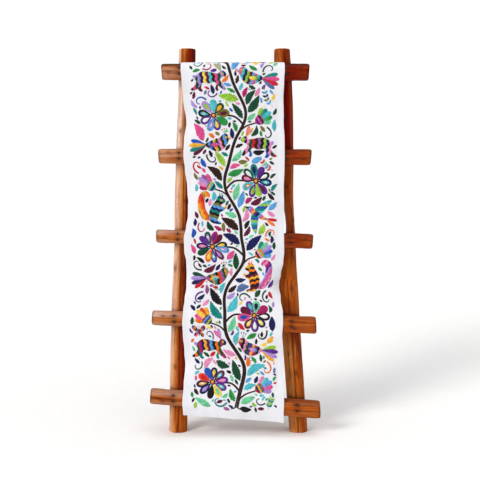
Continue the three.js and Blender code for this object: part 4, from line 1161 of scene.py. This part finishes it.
def rung(k, seed):
    name = f"rung_{k + 1}"
    xl, zl, dl, xr, zr, dr = RUNGS[k]
    long = math.hypot(xr - xl, zr - zl)
    ss = np.concatenate([[0, 1.5, 4, 8], np.arange(13, long - 12, 6.3), [long - 8, long - 4, long - 1.5, long]])
    th = -np.pi / 2 + 2 * np.pi * np.arange(84) / 84
    along, angle = np.meshgrid(ss, th, indexing="ij")
    a = along / long
    size = (dl + (dr - dl) * a) / 2
    hewn, corner = eight(angle, -np.pi / 2 + 0.1 - np.pi / 8 * smooth(a))
    size = size * (1 + HEWN["rung"] * (hewn - 1))
    size = size + np.where(a < 0.5, *BELLY[k]) * smooth((-0.4 - np.cos(angle)) / 0.5) * smooth((0.45 - np.sin(angle)) / 0.4) * (1 - smooth((along - 150) / 40) * smooth((long - 150 - along) / 40))
    out, split, knot, swirl, wear_and_highlight = weathered(name, along, angle, size, seed)
    # wear on the high places, with a painted highlight along the hewn ridges
    wear_and_highlight = np.clip(0.6 * wear_and_highlight + 0.6 * corner, 0, 1)
    under_cloth = smooth((along - 70) / 40) * smooth((long - 70 - along) / 40)
    out = np.where(out > 0, out * (1 - 0.6 * under_cloth), out)
    out = np.clip(out, -3, 1.0)
    end_in = np.minimum(along, long - along)
    r = size + out - np.interp(end_in, [0, 1.5, 4, 8, 13], [6.2, 3.4, 1.5, 0.45, 0.0])
    tilt = math.atan2(zr - zl, xr - xl)
    x = xl + (xr - xl) * a - math.sin(tilt) * r * np.cos(angle)
    cut_left, cut_right = SAWN[k]
    low = 0.5 - 0.5 * np.cos(angle)          # 0 at the top of the rung, 1 underneath
    x = x + np.clip(1 - along / 60, 0, 1) * cut_left * low - np.clip(1 - (long - along) / 60, 0, 1) * cut_right * low
    y = r * np.sin(angle)
    z = zl + (zr - zl) * a + math.cos(tilt) * r * np.cos(angle)
    stain_and_shade = np.zeros_like(z)
    for nx in NAIL_X[k]:
        for up in (11, -11):
            zn = rung_at(k, np.array(nx, float))[0] + up
            stain_and_shade = np.maximum(stain_and_shade, np.exp(-((np.hypot((x - nx) * 0.7, z - zn) / 8.8) ** 2)) * (y < 0))
            rays = np.exp(-(((z - zn) / 2.8) ** 2)) * np.exp(-(np.abs(x - nx) / 25))
            stain_and_shade = np.maximum(stain_and_shade, 0.95 * rays * (y < 0))
    stain_and_shade = np.maximum(stain_and_shade, 0.8 * np.exp(-((end_in / 6.0) ** 2)))
    rings = np.stack([x, y, z], axis=-1)
    # painted shade: dark red towards the right end, over a slight red tone at the left
    red_tone_and_shade = np.interp(along, *np.array(RED_TONE_AND_SHADE[name]).T)
    # painted light: the flank towards the key light is painted pale, and the underside, which faces the pale floor, a
    # little less
    lit_flank = smooth((np.cos(angle - np.radians(LIT[name])) - 0.35) / 0.5)
    under = smooth((np.cos(angle - np.radians(-160)) - 0.5) / 0.4)
    pale_and_painted_light = np.interp(along, *np.array(PAINTED_LIGHT[name]).T) * np.maximum(lit_flank, 0.75 * under)
    top = smooth((np.cos(angle - np.radians(-12)) - 0.55) / 0.35)
    stain_and_shade = np.maximum(stain_and_shade, np.interp(along, *np.array(GRIME[name]).T) * top)
    ob, data, extra = build_pole(name, rings[:, ::-1], along[:, ::-1], angle[:, ::-1], r[:, ::-1])
    return finish_pole(ob, data, extra, *(g[:, ::-1] for g in (split, knot, swirl, wear_and_highlight, stain_and_shade, red_tone_and_shade, pale_and_painted_light)), seed)


# ------------------------------------------------------------------ materials
class Nodes:
    """A short way to write a material's nodes."""

    def __init__(self, name):
        self.mat = bpy.data.materials.new(name)
        self.mat.use_nodes = True
        self.tree = self.mat.node_tree
        self.tree.nodes.clear()
        self.out = self.tree.nodes.new("ShaderNodeOutputMaterial")
        self.bsdf = self.tree.nodes.new("ShaderNodeBsdfPrincipled")
        self.tree.links.new(self.bsdf.outputs[0], self.out.inputs[0])

    def add(self, kind, **settings):
        node = self.tree.nodes.new("ShaderNode" + kind)
        for key, value in settings.items():
            setattr(node, key, value)
        return node

    def link(self, a, b):
        self.tree.links.new(a, b)

    def put(self, node, name, value):
        if hasattr(value, "is_linked") or isinstance(value, bpy.types.NodeSocket):
            self.link(value, node.inputs[name])
        else:
            node.inputs[name].default_value = value

    def attr(self, name, out="Vector"):
        return self.add("Attribute", attribute_name=name).outputs[out]

    def math(self, op, a, b=None, clamp=False):
        n = self.add("Math", operation=op, use_clamp=clamp)
        self.put(n, 0, a)
        if b is not None:
            self.put(n, 1, b)
        return n.outputs[0]

    def scaled(self, vector, scale):
        n = self.add("VectorMath", operation="MULTIPLY")
        self.link(vector, n.inputs[0])
        n.inputs[1].default_value = scale
        return n.outputs[0]

    def plus(self, a, b):
        n = self.add("VectorMath", operation="ADD")
        self.link(a, n.inputs[0])
        self.link(b, n.inputs[1])
        return n.outputs[0]

    def noise(self, vector, scale, detail=3.0, rough=0.55, warp=0.0):
        n = self.add("TexNoise")
        self.link(vector, n.inputs["Vector"])
        n.inputs["Scale"].default_value = scale
        n.inputs["Detail"].default_value = detail
        n.inputs["Roughness"].default_value = rough
        n.inputs["Distortion"].default_value = warp
        return n.outputs["Fac"]

    def ramp(self, value, stops):
        n = self.add("ValToRGB")
        self.link(value, n.inputs[0])
        e = n.color_ramp.elements
        while len(e) < len(stops):
            e.new(0.5)
        for el, (pos, col) in zip(e, stops):
            el.position = pos
            el.color = (*col, 1) if len(col) == 3 else col
        return n.outputs[0]

    def mix(self, fac, a, b, blend="MIX"):
        n = self.add("Mix", data_type="RGBA", blend_type=blend)
        for sock, value in ((n.inputs[0], fac), (n.inputs[6], a), (n.inputs[7], b)):
            if isinstance(value, bpy.types.NodeSocket):
                self.link(value, sock)
            else:
                sock.default_value = value if not isinstance(value, tuple) else (*value, 1)
        return n.outputs[2]

    def bump(self, height, distance, strength=1.0, onto=None):
        n = self.add("Bump")
        self.link(height, n.inputs["Height"])
        n.inputs["Distance"].default_value = distance
        n.inputs["Strength"].default_value = strength
        if onto is not None:
            self.link(onto, n.inputs["Normal"])
        return n.outputs[0]


def cotton_material():
    m = Nodes("cotton_plain_weave")
    flat = m.attr("flat")
    sep = m.add("SeparateXYZ")
    m.link(flat, sep.inputs[0])
    warp = m.math("SINE", m.math("MULTIPLY", sep.outputs[0], 2 * math.pi / 0.0011))
    weft = m.math("SINE", m.math("MULTIPLY", sep.outputs[1], 2 * math.pi / 0.0012))
    weave = m.math("ADD", m.math("MULTIPLY", warp, weft), m.math("MULTIPLY", m.math("ADD", warp, weft), 0.35))
    slub = m.noise(m.scaled(flat, (1, 26, 1)), 34, 3)
    slub2 = m.noise(m.scaled(flat, (24, 1, 1)), 38, 3)
    cloud = m.noise(flat, 9, 3)
    base = m.ramp(cloud, [(0.3, tuple(linear((222, 223, 228)))), (0.7, tuple(linear((233, 233, 237))))])
    base = m.mix(m.math("MULTIPLY", m.math("ADD", slub, slub2), 0.16), base, tuple(linear((206, 203, 216))))
    m.link(base, m.bsdf.inputs["Base Color"])
    rough = m.math("ADD", m.math("MULTIPLY", slub, 0.15), 0.8)
    m.link(rough, m.bsdf.inputs["Roughness"])
    m.bsdf.inputs["Specular IOR Level"].default_value = 0.2
    m.bsdf.inputs["Sheen Weight"].default_value = 0.12
    m.bsdf.inputs["Sheen Roughness"].default_value = 0.5
    n = m.bump(weave, 0.00012, 0.5)
    n = m.bump(m.math("ADD", slub, slub2), 0.0006, 0.5, n)
    m.link(n, m.bsdf.inputs["Normal"])
    return m.mat


def thread_material(name="embroidery_thread"):
    m = Nodes(name)
    tone = m.attr("thread", "Color")
    ply = m.attr("ply")
    sep = m.add("SeparateXYZ")
    m.link(ply, sep.inputs[0])
    twist = m.math("SINE", m.math("ADD", m.math("MULTIPLY", sep.outputs[1], 2 * math.pi / 1.7), m.math("MULTIPLY", sep.outputs[0], 2.6)))
    strands = m.math("SINE", m.math("ADD", m.math("MULTIPLY", sep.outputs[0], 9.0), m.math("MULTIPLY", sep.outputs[1], 0.9)))
    fuzz = m.noise(ply, 2.3, 3)
    shade = m.math("ADD", m.math("MULTIPLY", m.math("ABSOLUTE", sep.outputs[0]), -0.28), 1.0)
    shade = m.math("MULTIPLY", shade, m.math("ADD", m.math("MULTIPLY", fuzz, 0.22), 0.92))
    dark = m.mix(1.0, tone, tone, "MULTIPLY")
    base = m.mix(shade, dark, tone)
    m.link(base, m.bsdf.inputs["Base Color"])
    m.link(m.math("ADD", m.math("MULTIPLY", fuzz, 0.2), 0.48), m.bsdf.inputs["Roughness"])
    m.bsdf.inputs["Specular IOR Level"].default_value = 0.22
    n = m.bump(m.math("ADD", twist, m.math("MULTIPLY", strands, 0.6)), 0.00016, 0.6)
    m.link(n, m.bsdf.inputs["Normal"])
    return m.mat


def wood_material(name, light, mid, dark, pale, rubbed, painted_light_warm, pale_and_painted_light):
    """Varnished peeled pole: long streaks and growth rings along the pole, dark splits, knots and nail stains, rubbed
    high places. Painted light: a highlight along the hewn ridges and pale lit flanks; painted shade: dark red flanks
    turned from the light or in the cloth's shadow.
    """
    m = Nodes(name)
    pole, shift = m.attr("pole"), m.attr("shift")
    at = m.plus(pole, shift)
    sway = m.noise(m.scaled(at, (5, 14, 14)), 1.0, 3)
    sep = m.add("SeparateXYZ")
    m.link(pole, sep.inputs[0])
    radius = m.math("SQRT", m.math("ADD", m.math("MULTIPLY", sep.outputs[1], sep.outputs[1]), m.math("MULTIPLY", sep.outputs[2], sep.outputs[2])))
    radius = m.math("ADD", radius, m.math("MULTIPLY", sway, 0.021))
    rings = m.math("SINE", m.math("MULTIPLY", radius, 2 * math.pi / 0.0042))
    rings = m.math("ADD", m.math("MULTIPLY", rings, 0.5), 0.5)
    streak = m.noise(m.scaled(at, (3.2, 60, 60)), 1.0, 5, 0.62, 0.4)
    broad = m.noise(m.scaled(at, (2.0, 17, 17)), 1.0, 3, 0.5, 0.6)
    fine = m.noise(m.scaled(at, (11, 620, 620)), 1.0, 4, 0.65)
    patch = m.noise(m.scaled(at, (9, 22, 22)), 1.0, 4, 0.6)
    cap = m.attr("cap", "Fac")
    value = m.math("ADD", m.math("MULTIPLY", streak, 0.46), m.math("MULTIPLY", broad, 0.5))
    value = m.math("ADD", value, m.math("MULTIPLY", rings, m.math("ADD", m.math("MULTIPLY", cap, 0.2), 0.07)))
    value = m.math("ADD", value, m.math("MULTIPLY", fine, 0.56))
    value = m.math("SUBTRACT", value, 0.29, True)
    base = m.ramp(value, [(0.32, dark), (0.44, mid), (0.57, light), (0.74, pale)])
    # rubbed high places, and a painted highlight along the hewn ridges
    worn = m.math("MULTIPLY", m.attr("wear_and_highlight", "Fac"), m.ramp(patch, [(0.45, (0, 0, 0)), (0.7, (1, 1, 1))]))
    base = m.mix(m.math("MULTIPLY", worn, 0.45), base, rubbed)
    # painted light: the lit flanks are painted pale, in streaks
    light_streaks = m.math("ADD", m.math("MULTIPLY", streak, 1.5), m.math("MULTIPLY", fine, 1.7))
    lit_flank = m.math("MULTIPLY", m.attr("pale_and_painted_light", "Fac"), m.math("SUBTRACT", light_streaks, 0.86, True), True)
    base = m.mix(m.math("MULTIPLY", lit_flank, 0.9), base, m.ramp(m.attr("pale_and_painted_light", "Fac"), [(0.35, painted_light_warm), (0.9, pale_and_painted_light)]))
    # painted shade: dark red where the pole turns from the light or lies in the cloth's shadow, over a slight red tone
    base = m.mix(m.attr("red_tone_and_shade", "Fac"), base, (0.40, 0.022, 0.016), "MULTIPLY")
    fleck = m.ramp(m.noise(m.scaled(at, (70, 210, 210)), 1.0, 3, 0.6), [(0.58, (0, 0, 0)), (0.72, (1, 1, 1))])
    base = m.mix(m.math("MULTIPLY", fleck, 0.5), base, dark)
    knot = m.attr("knot", "Fac")
    base = m.mix(m.math("MULTIPLY", knot, 0.75, True), base, (0.05, 0.012, 0.005))
    # stains by the nails, the saddles and the rung ends, grime on the rung tops, and on the left rail a painted shadow
    # of the cloth
    stain_and_shade = m.math("MULTIPLY", m.attr("stain_and_shade", "Fac"), m.math("ADD", m.math("MULTIPLY", streak, 1.3), 0.25), True)
    base = m.mix(m.math("MULTIPLY", stain_and_shade, 0.92), base, (0.022, 0.007, 0.004))
    split = m.attr("split", "Fac")
    base = m.mix(m.math("MULTIPLY", split, 0.8), base, (0.03, 0.008, 0.004))
    m.link(base, m.bsdf.inputs["Base Color"])
    m.link(m.math("ADD", m.math("MULTIPLY", streak, 0.3), 0.3), m.bsdf.inputs["Roughness"])
    m.bsdf.inputs["Specular IOR Level"].default_value = 0.025
    m.bsdf.inputs["Coat Weight"].default_value = 0.05
    m.bsdf.inputs["Coat Roughness"].default_value = 0.25
    n = m.bump(m.math("ADD", m.math("MULTIPLY", streak, 1.0), m.math("MULTIPLY", rings, 0.1)), 0.0016, 0.5)
    n = m.bump(fine, 0.0012, 0.75, n)
    m.link(n, m.bsdf.inputs["Normal"])
    return m.mat


def iron_material():
    m = Nodes("nail_iron")
    co = m.add("TexCoord").outputs["Object"]
    rust = m.noise(co, 420, 4)
    base = m.ramp(rust, [(0.35, (0.018, 0.014, 0.013)), (0.62, (0.06, 0.03, 0.02)), (0.8, (0.14, 0.055, 0.025))])
    m.link(base, m.bsdf.inputs["Base Color"])
    m.bsdf.inputs["Metallic"].default_value = 0.7
    m.link(m.math("ADD", m.math("MULTIPLY", rust, 0.4), 0.35), m.bsdf.inputs["Roughness"])
    m.link(m.bump(rust, 0.0006, 0.5), m.bsdf.inputs["Normal"])
    return m.mat


def floor_material():
    m = Nodes("studio_floor")
    co = m.add("TexCoord").outputs["Object"]
    fleck = m.noise(co, 30, 3)
    m.link(m.ramp(fleck, [(0.3, (0.90, 0.90, 0.90)), (0.7, (0.92, 0.92, 0.92))]), m.bsdf.inputs["Base Color"])
    m.bsdf.inputs["Roughness"].default_value = 0.9
    m.bsdf.inputs["Specular IOR Level"].default_value = 0.1
    m.link(m.bump(fleck, 0.0005, 0.1), m.bsdf.inputs["Normal"])
    return m.mat


# ------------------------------------------------------------------ put together
COTTON = cotton_material()
THREAD = thread_material()
# the last two colours are the painted light on the lit flanks
RAIL_WOOD = wood_material("rail_wood", (0.56, 0.145, 0.010), (0.38, 0.074, 0.005), (0.13, 0.018, 0.003), (0.70, 0.27, 0.04), (0.74, 0.34, 0.10), (0.80, 0.46, 0.17), (0.85, 0.72, 0.62))
RUNG_WOOD = wood_material("rung_wood", (0.52, 0.132, 0.012), (0.36, 0.073, 0.006), (0.13, 0.021, 0.003), (0.64, 0.25, 0.045), (0.66, 0.30, 0.10), (0.62, 0.31, 0.13), (0.68, 0.52, 0.43))
IRON = iron_material()


def own(ob, material, node=None):
    ob.data.materials.append(material)
    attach(ob, "root")
    if node:
        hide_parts(node)
    return ob


runner = own(build_runner(), COTTON, "runner")
sewn = [own(build_stitches(name, rows), THREAD, None) for name, rows in SEWN.items()]

seen = [row for rows in SEWN.values() for row in rows if row[6] <= 1 and row[1] < 1392]
sewn.append(own(build_reverse("embroidery_reverse", seen), THREAD, None))

hem_rows = []
hem_dice = np.random.default_rng(5)
for side in (-1, 1):
    for v in np.arange(9, RUNNER_L - 12, 7.4):
        j = 0.35 * hem_dice.standard_normal()
        hem_rows.append((side * (RUNNER_W / 2 - 8.4 + j), v, side * (RUNNER_W / 2 - 8.4 + 0.6 * j), v + 4.9, 1.0, 0.42, 0, 226, 224, 233))
for v in (8.4, RUNNER_L - 8.4):
    for u in np.arange(-RUNNER_W / 2 + 10, RUNNER_W / 2 - 14, 7.4):
        j = 0.35 * hem_dice.standard_normal()
        hem_rows.append((u, v + j, u + 4.9, v + 0.6 * j, 1.0, 0.42, 0, 226, 224, 233))
sewn.append(own(build_stitches("hem_stitching", hem_rows), THREAD, None))

own(rail("rail_left", RAIL_LEFT, 21), RAIL_WOOD, "rail_left")
own(rail("rail_right", RAIL_RIGHT, 34), RAIL_WOOD, "rail_right")
for k in range(5):
    own(rung(k, 50 + k), RUNG_WOOD, f"rung_{k + 1}")
for name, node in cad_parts.items():
    if name.startswith("nail_"):
        node.data.materials.clear()
        node.data.materials.append(IRON)

# ------------------------------------------------------------------ floor, light, camera
FLOOR = [(0.8, 0), (3, 0), (7, 0), (11, 0), (14, 0.07), (17, 0.35), (21, 1.0), (26, 2.3), (32, 4.3), (39, 7.3), (47, 11.3)]   # radius, height: a floor that sweeps up far off
turn = np.linspace(0, 2 * np.pi, 96, endpoint=False)
spread = np.vstack([np.column_stack([r * np.cos(turn), r * np.sin(turn), np.full(96, h)]) for r, h in FLOOR] + [np.zeros((1, 3))])
tiles = [(96 * i + j, 96 * (i + 1) + j, 96 * (i + 1) + (j + 1) % 96, 96 * i + (j + 1) % 96) for i in range(len(FLOOR) - 1) for j in range(96)]
tiles += [(96 * len(FLOOR), j, (j + 1) % 96) for j in range(96)]
floor = add_mesh("floor", spread, tiles)
floor.data.materials.append(floor_material())

scene = bpy.context.scene
scene.view_settings.view_transform = "Standard"
scene.view_settings.look = "None"
world = bpy.data.worlds.new("studio")
scene.world = world
world.use_nodes = True
world.node_tree.nodes["Background"].inputs[0].default_value = (1.0, 1.0, 1.0, 1)
world.node_tree.nodes["Background"].inputs[1].default_value = 0.14

LIGHTS = [  # name, the way it comes from, how wide in degrees, strength, colour
    ("key", (-0.62, -0.56, 0.55), 22, 1.95, (1.0, 0.985, 0.96)),
    ("top", (0.05, -0.05, 1.0), 70, 1.9, (1.0, 1.0, 1.0)),
]
for name, way, wide, strength, colour in LIGHTS:
    data = bpy.data.lights.new(name, "SUN")
    data.energy = strength
    data.angle = math.radians(wide)
    data.color = colour
    lamp = bpy.data.objects.new(name, data)
    lamp.rotation_euler = (-Vector(way)).to_track_quat("-Z", "Y").to_euler()
    scene.collection.objects.link(lamp)

camera = bpy.data.objects.new("camera", bpy.data.cameras.new("camera"))
target = Vector((0.0203, -0.0587, 0.7597))
rise = math.radians(10.45)
camera.location = target + 5.204 * Vector((0, -math.cos(rise), math.sin(rise)))
camera.rotation_euler = (target - camera.location).to_track_quat("-Z", "Y").to_euler()
camera.data.lens = 100
camera.data.sensor_width = 36
camera.data.clip_end = 9000
scene.collection.objects.link(camera)
scene.camera = camera

bpy.context.view_layer.update()
